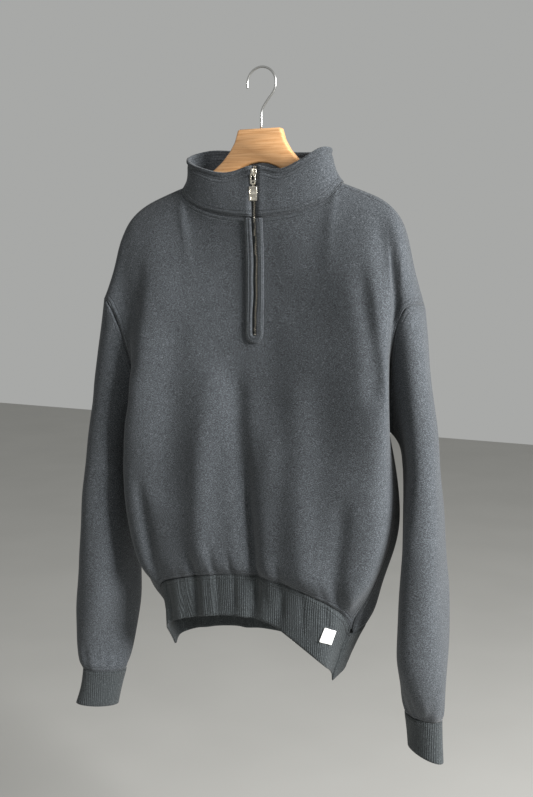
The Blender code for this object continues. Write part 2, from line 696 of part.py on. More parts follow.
def block(name, centre, size, finish, rounding=0.0, collection=PARTS):
    """A box with softened edges, standing at its centre."""
    form = bmesh.new()
    bmesh.ops.create_cube(form, size=1.0)
    bmesh.ops.scale(form, vec=[s * MM for s in size], verts=form.verts)
    if rounding:
        bmesh.ops.bevel(form, geom=form.edges[:], offset=rounding * MM, segments=2,
                        profile=0.5, affect="EDGES", material=-1)
    return placed(name, form, centre, finish, collection)


def rod(name, centre, radius, width, finish, collection=PARTS):
    """A round bar along X, standing at its centre."""
    form = bmesh.new()
    bmesh.ops.create_cone(form, cap_ends=True, segments=20, radius1=radius * MM,
                          radius2=radius * MM, depth=width * MM)
    turn = Matrix.Rotation(math.pi / 2, 3, "Y")
    bmesh.ops.rotate(form, cent=(0, 0, 0), matrix=turn, verts=form.verts)
    return placed(name, form, centre, finish, collection)


def placed(name, form, centre, finish, collection):
    mesh = bpy.data.meshes.new(name)
    form.to_mesh(mesh)
    form.free()
    mesh.materials.append(finish)
    made = bpy.data.objects.new(name, mesh)
    made.location = [c * MM for c in centre]
    bpy.data.collections[collection].objects.link(made)
    if collection == CUTTERS:
        made.hide_render = True
        made.display_type = "WIRE"
    return made


def combine(target, tool, operation):
    step = target.modifiers.new(tool.name, "BOOLEAN")
    step.operation = operation
    step.solver = "EXACT"
    step.object = tool


def build_slider(front_grid, metal):
    """The slider, whose bridge leaves an eye for the link; returns the hinge's Y."""
    y = float(zip_line(front_grid, SLIDER_Z)) - SLIDER_FORWARD
    face = y - SLIDER_SIZE[1] / 2
    slider = block("zip_slider", (CENTRE_X, y, SLIDER_Z), SLIDER_SIZE, metal, 0.8)
    root = 0.8
    bridge_y = face - BRIDGE_SIZE[1] / 2 + root / 2
    bridge = block("bridge", (CENTRE_X, bridge_y, SLIDER_Z),
                   (BRIDGE_SIZE[0], BRIDGE_SIZE[1] + root, BRIDGE_SIZE[2]), metal, 0.5, CUTTERS)
    eye = block("eye", (CENTRE_X, face - EYE_SIZE[0] / 2, SLIDER_Z),
                (SLIDER_SIZE[0], EYE_SIZE[0], EYE_SIZE[1]), metal, 0.0, CUTTERS)
    combine(slider, bridge, "UNION")
    combine(slider, eye, "DIFFERENCE")
    return face - EYE_SIZE[0] / 2


def build_link(hinge_y, metal):
    """A flat link whose upper bar turns in the slider's eye; returns its lower bar's Z."""
    eye_foot = LINK_BAR / 2 + LINK_EYE[1]
    window_top = eye_foot + LINK_NECK
    lower_bar = window_top + LINK_WINDOW[1] + LINK_BAR / 2
    length = LINK_BAR / 2 + lower_bar + LINK_BAR / 2
    form = bmesh.new()
    bmesh.ops.create_cube(form, size=1.0)
    size = (LINK_WIDTH, LINK_BAR, length)
    bmesh.ops.scale(form, vec=[s * MM for s in size], verts=form.verts)
    bmesh.ops.translate(form, vec=(0, 0, (LINK_BAR / 2 - length / 2) * MM), verts=form.verts)
    corners = [e for e in form.edges
               if abs(e.verts[0].co.y - e.verts[1].co.y) > 0.5 * LINK_BAR * MM]
    bmesh.ops.bevel(form, geom=corners, offset=2.4 * MM, segments=4, profile=0.5,
                    affect="EDGES", material=-1)
    axis = (CENTRE_X, hinge_y, LINK_AXIS_Z)
    link = placed("zip_pull_link", form, axis, metal, PARTS)
    eye_z = LINK_AXIS_Z - LINK_BAR / 2 - LINK_EYE[1] / 2
    eye = block("link_eye", (CENTRE_X, hinge_y, eye_z),
                (LINK_EYE[0], 4 * LINK_BAR, LINK_EYE[1]), metal, 0.0, CUTTERS)
    window_z = LINK_AXIS_Z - window_top - LINK_WINDOW[1] / 2
    window = block("link_window", (CENTRE_X, hinge_y, window_z),
                   (LINK_WINDOW[0], 4 * LINK_BAR, LINK_WINDOW[1]), metal, 0.0, CUTTERS)
    combine(link, eye, "DIFFERENCE")
    combine(link, window, "DIFFERENCE")
    return LINK_AXIS_Z - lower_bar


def build_tab(hinge_y, bar_z, metal):
    """The tab: its knuckle goes round the link's lower bar, and its face is sunk inside a rim."""
    plate_z = bar_z - TAB_DROP - TAB_SIZE[2] / 2
    tab = rod("zip_pull_tab", (CENTRE_X, hinge_y, bar_z), KNUCKLE_RADIUS, KNUCKLE_WIDTH, metal)
    plate = block("tab_plate", (CENTRE_X, hinge_y, plate_z), TAB_SIZE, metal, 0.7, CUTTERS)
    neck_length = TAB_DROP + 1.0 - KNUCKLE_BORE - 0.2
    neck_z = bar_z - KNUCKLE_BORE - 0.2 - neck_length / 2
    neck = block("tab_neck", (CENTRE_X, hinge_y, neck_z),
                 (KNUCKLE_WIDTH - 0.4, TAB_SIZE[1] - 0.3, neck_length), metal, 0.0, CUTTERS)
    bore = rod("tab_bore", (CENTRE_X, hinge_y, bar_z), KNUCKLE_BORE, TAB_SIZE[0], metal, CUTTERS)
    face = hinge_y - TAB_SIZE[1] / 2
    top = plate_z + TAB_SIZE[2] / 2
    panel_z = top - 1.5 - TAB_PANEL[2] / 2
    panel = block("tab_panel", (CENTRE_X, face, panel_z),
                  (TAB_PANEL[0], 2 * TAB_PANEL[1], TAB_PANEL[2]), metal, 0.0, CUTTERS)
    window_z = top - TAB_SIZE[2] + 1.8 + TAB_WINDOW[2] / 2
    window = block("tab_window", (CENTRE_X, face, window_z),
                   (TAB_WINDOW[0], 2 * TAB_WINDOW[1], TAB_WINDOW[2]), metal, 0.0, CUTTERS)
    combine(tab, plate, "UNION")
    combine(tab, neck, "UNION")
    for tool in (bore, panel, window):
        combine(tab, tool, "DIFFERENCE")


def build_label(hem, finish):
    """A small woven label, a true rectangle that lies on the waistband's outer face."""
    tilt = math.radians(LABEL_TILT)
    column, row = LABEL_PLACE
    across, down = surface_steps(hem, column, row)
    out = np.cross(down, across)
    level = np.cross(out, (0.0, 0.0, 1.0))
    level /= np.linalg.norm(level)
    fall = np.cross(level, out / np.linalg.norm(out))
    right = level * math.cos(tilt) + fall * math.sin(tilt)
    below = fall * math.cos(tilt) - level * math.sin(tilt)
    rows = []
    for share_down in np.linspace(-0.5, 0.5, 5):
        line = []
        for share_right in np.linspace(-0.5, 0.5, 4):
            step = right * share_right * LABEL_SIZE[0] + below * share_down * LABEL_SIZE[1]
            steps = np.linalg.lstsq(np.stack([across, down], axis=1), step, rcond=None)[0]
            line.append(lifted(hem, column + steps[0], row + steps[1],
                               RIB / 2 + LABEL_GAP + LABEL_WALL / 2))
        rows.append(line)
    cloth("hem_label", np.array(rows), LABEL_WALL, finish)


def on_grid(grid, column, row):
    """A point between a closed grid's columns and rows."""
    left, top = int(math.floor(column)), min(int(math.floor(row)), grid.shape[0] - 2)
    across, down = column - left, row - top
    count = grid.shape[1]
    upper = grid[top, left % count] * (1 - across) + grid[top, (left + 1) % count] * across
    lower = grid[top + 1, left % count] * (1 - across) + grid[top + 1, (left + 1) % count] * across
    return upper * (1 - down) + lower * down


def surface_steps(grid, column, row):
    """The steps in space from a place to the next column and to the next row."""
    across = on_grid(grid, column + 0.5, row) - on_grid(grid, column - 0.5, row)
    down = on_grid(grid, column, row + 0.5) - on_grid(grid, column, row - 0.5)
    return across, down


def lifted(grid, column, row, distance):
    """A point off the outer face of a waistband or sleeve that is seen from the front."""
    across = on_grid(grid, column + 0.6, row) - on_grid(grid, column - 0.6, row)
    down = on_grid(grid, column, row + 0.3) - on_grid(grid, column, row - 0.3)
    out = np.cross(down, across)
    return on_grid(grid, column, row) + out / np.linalg.norm(out) * distance


# ---- Hanger ----


def build_hanger(wood, steel):
    right = [(x, z) for x, z in WOOD_OUTLINE]
    outline = right + [(0, WOOD_ARCH_Z)] + [(-x, z) for x, z in reversed(right)]
    curve = bpy.data.curves.new("hanger_wood", "CURVE")
    curve.dimensions = "2D"
    curve.fill_mode = "BOTH"
    curve.extrude = (WOOD_THICKNESS / 2 - WOOD_ROUNDING) * MM
    curve.bevel_depth = WOOD_ROUNDING * MM
    curve.bevel_resolution = 1
    curve.offset = -WOOD_ROUNDING * MM
    spline = curve.splines.new("POLY")
    spline.points.add(len(outline) - 1)
    for knot, (x, z) in zip(spline.points, outline):
        knot.co = (x * MM, z * MM, 0.0, 1.0)
    spline.use_cyclic_u = True
    curve.materials.append(wood)
    hanger = bpy.data.objects.new("hanger_wood", curve)
    hanger.rotation_euler = (math.pi / 2, 0.0, 0.0)
    bpy.data.collections[PARTS].objects.link(hanger)
    arc = [math.radians(a) for a in np.linspace(HOOK_FROM, HOOK_TO, 22)]
    path = list(STEM) + [(HOOK_CENTRE[0] + HOOK_RADIUS * math.cos(a),
                          HOOK_CENTRE[1] + HOOK_RADIUS * math.sin(a)) for a in arc]
    wire("hanger_hook", [(x, 0.0, z) for x, z in path], WIRE_RADIUS, steel)


def wire(name, points, radius, finish):
    curve = bpy.data.curves.new(name, "CURVE")
    curve.dimensions = "3D"
    curve.bevel_depth = radius * MM
    curve.bevel_resolution = 2
    curve.use_fill_caps = True
    spline = curve.splines.new("POLY")
    spline.points.add(len(points) - 1)
    for knot, point in zip(spline.points, points):
        knot.co = (*[p * MM for p in point], 1.0)
    made = bpy.data.objects.new(name, curve)
    curve.materials.append(finish)
    bpy.data.collections[PARTS].objects.link(made)


def main():
    clear_scene()
    for name in (PARTS, CUTTERS):
        bpy.context.scene.collection.children.link(bpy.data.collections.new(name))
    fleece = material("charcoal_heather_fleece", (0.08, 0.09, 0.095), 0.95)
    rib = material("charcoal_rib", (0.07, 0.078, 0.082), 0.95)
    tape = material("grey_zip_tape", (0.04, 0.043, 0.046), 0.85)
    nickel = material("nickel_plate", (0.75, 0.73, 0.68), 0.25, 1.0)
    label = material("white_woven_label", (0.85, 0.85, 0.83), 0.8)
    beech = material("beech", (0.66, 0.41, 0.2), 0.45)
    steel = material("bright_steel_wire", (0.6, 0.6, 0.6), 0.3, 1.0)

    front_grid, turns = panel(True)
    back_grid, _ = panel(False)
    around = np.concatenate([turns, 360.0 - turns[-2:0:-1]])
    sleeves = {side: sleeve_grid(side, around) for side in (1, -1)}
    hem = hem_grid(front_grid[-1], back_grid[-1])
    build_body(front_grid, back_grid, sleeves, hem, fleece)
    for side, word in ((1, "right"), (-1, "left")):
        build_sleeve("sleeve_" + word, side, sleeves[side], front_grid, back_grid, fleece)
        build_cuff("cuff_" + word, side, around, rib)
    build_hem(hem, front_grid, back_grid, rib)
    build_collar(front_grid, back_grid, fleece)
    build_zip(front_grid, tape, nickel)
    build_placket(front_grid, fleece)
    hinge_y = build_slider(front_grid, nickel)
    bar_z = build_link(hinge_y, nickel)
    build_tab(hinge_y, bar_z, nickel)
    build_label(hem, label)
    build_hanger(beech, steel)


main()
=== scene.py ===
# %% [markdown]
# # A half zip sweatshirt on a wooden hanger
#
# A heavy fleece sweatshirt hangs by a wire hook. Its cloth comes as thin solid shells that already
# hang as they should, so this lesson leaves each one in its place. It gives each a finer surface,
# the creases that hanging cloth has, and a finish that shows how it was knitted.

# %% Load the settled frame
import json
import math

import bmesh
import bpy
import numpy as np
from mathutils import Matrix, Vector, noise
from mathutils.bvhtree import BVHTree

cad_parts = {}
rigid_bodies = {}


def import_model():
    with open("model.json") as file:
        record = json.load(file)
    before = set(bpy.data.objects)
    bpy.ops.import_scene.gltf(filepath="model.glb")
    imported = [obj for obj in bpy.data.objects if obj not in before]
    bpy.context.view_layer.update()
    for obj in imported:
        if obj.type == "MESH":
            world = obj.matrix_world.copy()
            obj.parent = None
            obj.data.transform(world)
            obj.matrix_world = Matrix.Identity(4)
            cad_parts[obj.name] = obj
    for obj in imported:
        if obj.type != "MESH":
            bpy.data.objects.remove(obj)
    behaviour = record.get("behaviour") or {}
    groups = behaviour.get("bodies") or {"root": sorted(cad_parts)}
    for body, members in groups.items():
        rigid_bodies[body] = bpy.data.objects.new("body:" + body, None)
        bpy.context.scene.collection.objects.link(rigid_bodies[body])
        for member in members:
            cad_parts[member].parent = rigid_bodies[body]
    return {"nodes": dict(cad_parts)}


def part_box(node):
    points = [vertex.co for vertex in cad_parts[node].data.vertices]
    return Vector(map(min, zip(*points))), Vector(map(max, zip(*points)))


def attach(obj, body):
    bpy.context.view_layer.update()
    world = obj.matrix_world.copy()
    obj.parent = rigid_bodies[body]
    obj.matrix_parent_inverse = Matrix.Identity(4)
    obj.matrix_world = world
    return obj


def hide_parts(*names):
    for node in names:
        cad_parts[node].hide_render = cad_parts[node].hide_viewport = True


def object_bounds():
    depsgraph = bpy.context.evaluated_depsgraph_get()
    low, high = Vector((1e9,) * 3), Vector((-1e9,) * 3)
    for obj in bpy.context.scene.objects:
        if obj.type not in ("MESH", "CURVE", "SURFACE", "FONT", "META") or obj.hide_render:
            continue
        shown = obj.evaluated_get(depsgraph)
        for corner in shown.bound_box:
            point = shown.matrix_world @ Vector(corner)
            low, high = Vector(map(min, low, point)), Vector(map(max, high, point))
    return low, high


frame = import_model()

MM = 0.001
GARMENT = "garment_on_hanger"
LINK = "pull_link"
TAB = "pull_tab"
cad_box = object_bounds()
print("nodes in the frame:", len(frame["nodes"]))

# %% [markdown]
# ## Colours and nodes
#
# Colours are written as they are picked on a screen, in sRGB hex. Blender mixes light in linear
# numbers, so one function turns them. One more function adds a shader node, which keeps each
# material a short list of steps instead of a page of links.


# %% Helpers for materials
def linear(hex_colour):
    """An sRGB hex colour as linear red, green, blue and alpha."""
    parts = [int(hex_colour[i:i + 2], 16) / 255.0 for i in (1, 3, 5)]
    turned = [p / 12.92 if p <= 0.04045 else ((p + 0.055) / 1.055) ** 2.4 for p in parts]
    return (*turned, 1.0)


def add_node(tree, kind, inputs=None, **settings):
    """Adds a node; an input that is another node's output is linked, and the rest are set."""
    made = tree.nodes.new(kind)
    for name, value in settings.items():
        setattr(made, name, value)
    for socket, value in (inputs or {}).items():
        if isinstance(value, bpy.types.NodeSocket):
            tree.links.new(value, made.inputs[socket])
        else:
            made.inputs[socket].default_value = value
    return made


def new_material(name):
    """An empty node material and its shader."""
    made = bpy.data.materials.new(name)
    made.use_nodes = True
    return made, made.node_tree, made.node_tree.nodes["Principled BSDF"]


def ramp(tree, factor, *stops):
    """A colour ramp through (place, colour) stops."""
    made = add_node(tree, "ShaderNodeValToRGB", {"Fac": factor})
    line = made.color_ramp
    while len(line.elements) < len(stops):
        line.elements.new(0.5)
    for element, (place, colour) in zip(line.elements, stops):
        element.position = place
        element.color = colour
    return made.outputs["Color"]


def grey(value):
    """A grey for ramps that carry a height and not a colour."""
    return (value, value, value, 1.0)


def multiplied(tree, colour, shade):
    """A colour darkened by a shade."""
    return add_node(tree, "ShaderNodeMix", {0: 1.0, 6: colour, 7: shade},
                    data_type="RGBA", blend_type="MULTIPLY").outputs[2]


def stretched(tree, scale):
    """Object coordinates scaled so that a pattern can be longer one way than another."""
    place = add_node(tree, "ShaderNodeTexCoord")
    mapped = add_node(tree, "ShaderNodeMapping",
                      {"Vector": place.outputs["Object"], "Scale": scale})
    return mapped.outputs["Vector"]


# %% [markdown]
# ## Heather fleece
#
# Heather yarn is spun from fibres that were dyed apart: mostly charcoal, some almost black, some
# pale. Knitted in rows, they leave short flecks that lie level. So a noise is stretched sideways:
# a fleck is under 2 mm long and about half a millimetre high. A second, broad noise keeps the
# cloth from looking printed. The seams carry two lines of stitches, which sink into the thick
# cloth: each point knows how far it is from the next piece, and that distance draws the lines.
# It dents them, and it also darkens the seam and both lines as painted shade.

# %% Fleece and rib
FLECK_LONG = 1.7
FLECK_HIGH = 0.6
MOTTLE = 55.0
PILE_DEEP = 0.5
SHEEN = 0.1
# the distance to a seam is kept as a share of SEAM_REACH, and so are the places of both lines
SEAM_REACH = 12.0
LINE_NEAR = 0.26
LINE_FAR = 0.63
STITCH_DEEP = 1.1


def heather(tree, dark, middle, light):
    """The colour of heather yarn, and the fleck noise that made it."""
    flecks = add_node(tree, "ShaderNodeTexNoise", {
        "Vector": stretched(tree, (1 / FLECK_LONG / MM, 1 / FLECK_LONG / MM, 1 / FLECK_HIGH / MM)),
        "Scale": 1.0, "Detail": 3.0, "Roughness": 0.65}).outputs["Fac"]
    broad = add_node(tree, "ShaderNodeTexNoise", {
        "Vector": stretched(tree, (1 / MOTTLE / MM,) * 3),
        "Scale": 1.0, "Detail": 2.0}).outputs["Fac"]
    colour = ramp(tree, flecks, (0.30, linear(dark)), (0.50, linear(middle)), (0.70, linear(light)))
    shade = ramp(tree, broad, (0.30, grey(0.90)), (0.70, grey(1.0)))
    return multiplied(tree, colour, shade), flecks


def cloth_shader(name, dark, middle, light):
    """Heather cloth with its seams: matt, with the faint pale edge that loose fibres give, and
    painted shade along seams and stitch lines.
    """
    made, tree, shader = new_material(name)
    colour, flecks = heather(tree, dark, middle, light)
    seam = add_node(tree, "ShaderNodeAttribute", attribute_name="seam").outputs["Fac"]
    sunk = ramp(tree, seam, (0.0, grey(0.35)), (0.16, grey(0.95)), (LINE_NEAR, grey(0.30)),
                (0.36, grey(1.0)), (0.54, grey(1.0)), (LINE_FAR, grey(0.35)), (0.73, grey(0.9)),
                (1.0, grey(0.75)))
    # painted shade: the colour is darkest at the seam itself and darker again along both stitch
    # lines
    painted_seam_shade = ramp(tree, seam, (0.0, grey(0.66)), (0.14, grey(1.0)), (LINE_NEAR, grey(0.82)),
                  (0.36, grey(1.0)), (0.54, grey(1.0)), (LINE_FAR, grey(0.85)), (0.73, grey(1.0)))
    tree.links.new(multiplied(tree, colour, painted_seam_shade), shader.inputs["Base Color"])
    pile = add_node(tree, "ShaderNodeBump", {"Height": flecks, "Strength": 0.55,
                                             "Distance": PILE_DEEP * MM})
    lines = add_node(tree, "ShaderNodeBump", {"Height": sunk, "Strength": 0.9,
                                              "Distance": STITCH_DEEP * MM,
                                              "Normal": pile.outputs["Normal"]})
    tree.links.new(lines.outputs["Normal"], shader.inputs["Normal"])
    shader.inputs["Roughness"].default_value = 0.95
    shader.inputs["Sheen Weight"].default_value = SHEEN
    shader.inputs["Sheen Roughness"].default_value = 0.45
    return made, lines


fleece, _ = cloth_shader("charcoal_heather_fleece_brushed", "#1a1d20", "#373b3f", "#6c7176")

RIB_PITCH = 3.0
RIB_DEEP = 0.45
rib, lines = cloth_shader("charcoal_heather_rib_knit", "#171b1d", "#313638", "#5c6264")
tree = rib.node_tree
shader = tree.nodes["Principled BSDF"]
band = add_node(tree, "ShaderNodeUVMap", uv_map="band")
across = add_node(tree, "ShaderNodeSeparateXYZ", {0: band.outputs["UV"]}).outputs["X"]
phase = add_node(tree, "ShaderNodeMath", {0: across, 1: 2 * math.pi / RIB_PITCH},
                 operation="MULTIPLY").outputs[0]
wales = add_node(tree, "ShaderNodeMath", {0: phase}, operation="SINE").outputs[0]
ribbed = add_node(tree, "ShaderNodeBump", {"Height": wales, "Strength": 0.6,
                                           "Distance": RIB_DEEP * MM,
                                           "Normal": lines.outputs["Normal"]})
tree.links.new(ribbed.outputs["Normal"], shader.inputs["Normal"])
print("cloth materials:", fleece.name, rib.name)

# %% [markdown]
# ## Tape, label, thread, metal and wood
#
# Zip tape is a dark twill, whose fine slanting lines are drawn 0.9 mm apart here, coarser than
# real ones, so that they show. The label is bare white damask. Nickel plate is bright and a
# little warm, with faint rubbing in its gloss. Beech is pale, with long grain and the short dark
# flecks that mark it. The hook is bright drawn steel.

# %% Small materials
# at a scale of 1 a wave texture repeats every 2 pi / 20 of a unit
WAVE_PACE = 20


def woven(name, hex_colour, thread, roughness, slant):
    """A plain or twill weave: lines a thread apart, slanted on a twill."""
    made, tree, shader = new_material(name)
    place = add_node(tree, "ShaderNodeTexCoord")
    turned = add_node(tree, "ShaderNodeMapping", {
        "Vector": place.outputs["Object"], "Rotation": (0.0, math.radians(slant), 0.0)})
    threads = add_node(tree, "ShaderNodeTexWave", {
        "Vector": turned.outputs["Vector"], "Scale": 2 * math.pi / (WAVE_PACE * thread * MM),
        "Distortion": 0.4}, bands_direction="X")
    hue = linear(hex_colour)
    pale = [min(1.0, c * 1.35) for c in hue[:3]] + [1.0]
    tree.links.new(ramp(tree, threads.outputs["Fac"], (0.2, hue), (0.8, pale)),
                   shader.inputs["Base Color"])
    bump = add_node(tree, "ShaderNodeBump", {"Height": threads.outputs["Fac"], "Strength": 0.5,
                                             "Distance": 0.2 * MM})
    tree.links.new(bump.outputs["Normal"], shader.inputs["Normal"])
    shader.inputs["Roughness"].default_value = roughness
    return made


def plated(name, hex_colour, low, high, grain):
    """Bare or plated metal whose gloss varies with fine rubbing."""
    made, tree, shader = new_material(name)
    rubbed = add_node(tree, "ShaderNodeTexNoise", {
        "Vector": stretched(tree, (1 / grain / MM, 1 / grain / MM, 0.3 / grain / MM)),
        "Scale": 1.0, "Detail": 4.0}).outputs["Fac"]
    gloss = add_node(tree, "ShaderNodeMapRange", {"Value": rubbed, "To Min": low, "To Max": high})
    tree.links.new(gloss.outputs["Result"], shader.inputs["Roughness"])
    bump = add_node(tree, "ShaderNodeBump", {"Height": rubbed, "Strength": 0.15,
                                             "Distance": 0.05 * MM})
    tree.links.new(bump.outputs["Normal"], shader.inputs["Normal"])
    shader.inputs["Base Color"].default_value = linear(hex_colour)
    shader.inputs["Metallic"].default_value = 1.0
    return made


tape_twill = woven("grey_polyester_zip_tape_twill", "#3f4345", 0.9, 0.85, 30)
label_damask = woven("white_woven_damask_label", "#e2e2de", 0.6, 0.8, 0)
thread_cotton = woven("charcoal_polyester_thread", "#454a4c", 0.5, 0.8, 45)
nickel = plated("bright_nickel_plate", "#d9d3c6", 0.16, 0.34, 0.8)
steel = plated("bright_drawn_steel_wire", "#b9b9b7", 0.24, 0.42, 0.6)

GRAIN_LONG = 45.0
GRAIN_FINE = 1.6
TICK_LONG = 3.5
TICK_FINE = 0.7
beech, tree, shader = new_material("lacquered_beech")
grain = add_node(tree, "ShaderNodeTexNoise", {
    "Vector": stretched(tree, (1 / GRAIN_LONG / MM, 1 / GRAIN_FINE / MM, 1 / GRAIN_FINE / MM)),
    "Scale": 1.0, "Detail": 4.0, "Distortion": 0.3}).outputs["Fac"]
ticks = add_node(tree, "ShaderNodeTexNoise", {
    "Vector": stretched(tree, (1 / TICK_LONG / MM, 1 / TICK_FINE / MM, 1 / TICK_FINE / MM)),
    "Scale": 1.0}).outputs["Fac"]
long_grain = ramp(tree, grain, (0.35, linear("#bd8a58")), (0.5, linear("#cf9d6b")),
                  (0.7, linear("#d9ab7b")))
dark_ticks = ramp(tree, ticks, (0.28, grey(0.78)), (0.36, grey(1.0)))
tree.links.new(multiplied(tree, long_grain, dark_ticks), shader.inputs["Base Color"])
shader.inputs["Roughness"].default_value = 0.42
shader.inputs["Coat Weight"].default_value = 0.15
print("small materials are ready")

# %% [markdown]
# ## A finer surface for each piece of cloth
#
# A settled solid is a wall of flat triangles. Pairing them back into quads and rounding them with
# Catmull-Clark gives cloth that bends smoothly. Left alone that would also shrink the cut edges,
# so the sharp rims are creased and stay where they are, and the seams still meet.

# %% Copy and refine a solid
MERGE = 0.00002
RIM_ANGLE = math.radians(62)
RIM_CREASE = 0.9
SMOOTH_LEVELS = 2


def merged_form(node):
    """A copy of a solid's mesh with its loose triangles joined up."""
    form = bmesh.new()
    form.from_mesh(frame["nodes"][node].data)
    bmesh.ops.remove_doubles(form, verts=form.verts, dist=MERGE)
    return form


def as_object(form, name, finish):
    """Turns a bmesh into an object at the origin with one finish."""
    mesh = bpy.data.meshes.new(name)
    form.to_mesh(mesh)
    form.free()
    made = bpy.data.objects.new(name, mesh)
    bpy.context.scene.collection.objects.link(made)
    mesh.materials.clear()
    mesh.materials.append(finish)
    return made


def apply_modifiers(made):
    """Makes an object's modifiers part of its mesh."""
    bpy.context.view_layer.update()
    graph = bpy.context.evaluated_depsgraph_get()
    mesh = bpy.data.meshes.new_from_object(made.evaluated_get(graph))
    made.modifiers.clear()
    made.data = mesh


def refined(name, node, finish):
    """A soft copy of a cloth solid: quads again, rims creased, then subdivided."""
    form = merged_form(node)
    bmesh.ops.join_triangles(form, faces=form.faces, angle_face_threshold=math.pi,
                             angle_shape_threshold=math.pi)
    crease = form.edges.layers.float.new("crease_edge")
    for edge in form.edges:
        if len(edge.link_faces) == 2 and edge.calc_face_angle() > RIM_ANGLE:
            edge[crease] = RIM_CREASE
    made = as_object(form, name, finish)
    rounder = made.modifiers.new("soft", "SUBSURF")
    rounder.levels = SMOOTH_LEVELS
    rounder.render_levels = SMOOTH_LEVELS
    apply_modifiers(made)
    made.data.shade_smooth()
    return made


def points_of(made):
    """The object's points in millimetres."""
    flat = np.empty(len(made.data.vertices) * 3)
    made.data.vertices.foreach_get("co", flat)
    return flat.reshape(-1, 3) / MM


def put_points(made, points):
    """Moves the object's points to places given in millimetres."""
    made.data.vertices.foreach_set("co", (points * MM).ravel())
    made.data.update()


def normals_of(made):
    """The direction that the surface faces at each point."""
    flat = np.empty(len(made.data.vertices) * 3)
    made.data.vertices.foreach_get("normal", flat)
    return flat.reshape(-1, 3)


def dress(made, node, body=GARMENT):
    """Hides the solid that a piece stands for, and makes the piece ride on its body."""
    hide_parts(node)
    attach(made, body)


CLOTH = {
    "front_panel": ("fleece", fleece), "back_panel": ("fleece", fleece),
    "sleeve_left": ("fleece", fleece), "sleeve_right": ("fleece", fleece),
    "collar": ("fleece", fleece), "placket": ("fleece", fleece),
    "hem_rib": ("rib", rib), "cuff_left": ("rib", rib), "cuff_right": ("rib", rib),
}
shells = {}
for node, (slot, finish) in CLOTH.items():
    shells[node] = refined(node + "_cloth", node, finish)
print("cloth points:", sum(len(s.data.vertices) for s in shells.values()))

# %% [markdown]
# ## How far each point is from the next piece
#
# Stitch lines follow seams, and creases fade out at them. Both need one number: the distance from
# a point to the nearest neighbour that it is sewn to. A BVH tree of the neighbours' solids
# answers that quickly, and the result is kept on the mesh as an attribute.

# %% Distance to the neighbours
SEWN_TO = {
    "front_panel": ("collar", "sleeve_left", "sleeve_right", "hem_rib", "back_panel"),
    "back_panel": ("collar", "sleeve_left", "sleeve_right", "hem_rib", "front_panel"),
    "sleeve_left": ("front_panel", "back_panel", "cuff_left"),
    "sleeve_right": ("front_panel", "back_panel", "cuff_right"),
    "collar": ("front_panel", "back_panel"),
    "placket": (),
    "hem_rib": ("front_panel", "back_panel"),
    "cuff_left": ("sleeve_left",),
    "cuff_right": ("sleeve_right",),
}
LOOK_WITHIN = 48.0
FAR = 200.0


def tree_of(node):
    """A search tree of a solid's surface."""
    form = merged_form(node)
    tree = BVHTree.FromBMesh(form)
    form.free()
    return tree


trees = {node: tree_of(node) for node in CLOTH}


def distance_to(points, neighbours):
    """Millimetres from each point to the nearest of the neighbours."""
    result = np.full(len(points), FAR)
    for neighbour in neighbours:
        tree = trees[neighbour]
        for i, point in enumerate(points):
            found = tree.find_nearest(Vector(point) * MM, LOOK_WITHIN * MM)
            if found[0] is not None:
                result[i] = min(result[i], found[3] / MM)
    return result


from_seam = {}
for node, made in shells.items():
    from_seam[node] = distance_to(points_of(made), SEWN_TO[node])
    # the cloth shader dents the stitch lines from this distance and darkens the seams as painted
    # shade
    seam = made.data.attributes.new("seam", "FLOAT", "POINT")
    seam.data.foreach_set("value", np.clip(from_seam[node] / SEAM_REACH, 0.0, 1.0))
print("nearest seams measured on", len(from_seam), "pieces")

# %% [markdown]
# ## Closing the seams
#
# The pieces were cut a little apart, and rounding a shell draws its rims in further, so a thin
# slit shows where two pieces are sewn. Points near a seam therefore move almost halfway to the
# next piece. Its own points do the same, and the two rims meet near the middle.

# %% Close the seams
CLOSE_WITHIN = 3.8
CLOSE_FULLY = 1.5
CLOSE_SHARE = 0.49
for node, made in shells.items():
    points = points_of(made)
    for i in np.nonzero(from_seam[node] < CLOSE_WITHIN)[0]:
        found = [trees[n].find_nearest(Vector(points[i]) * MM) for n in SEWN_TO[node]]
        nearest = min(found, key=lambda hit: hit[3])[0] / MM
        share = (CLOSE_WITHIN - from_seam[node][i]) / (CLOSE_WITHIN - CLOSE_FULLY)
        points[i] += CLOSE_SHARE * min(1.0, share) * (np.array(nearest) - points[i])
    put_points(made, points)
print("seams closed to within mm:", CLOSE_WITHIN)

# %% [markdown]
# ## Creases
#
# The biggest folds are already in the solids. What is added is what a hanging fleece shows closer
# up: gathers where the loose body is pulled into the tight waistband, drag lines that run from the
# underarm, a few broad folds down the panels, and a slow unevenness all over. Each is a soft
# trough or ridge with its own length, width and depth, placed one by one, because even creases look
# like corrugated card.

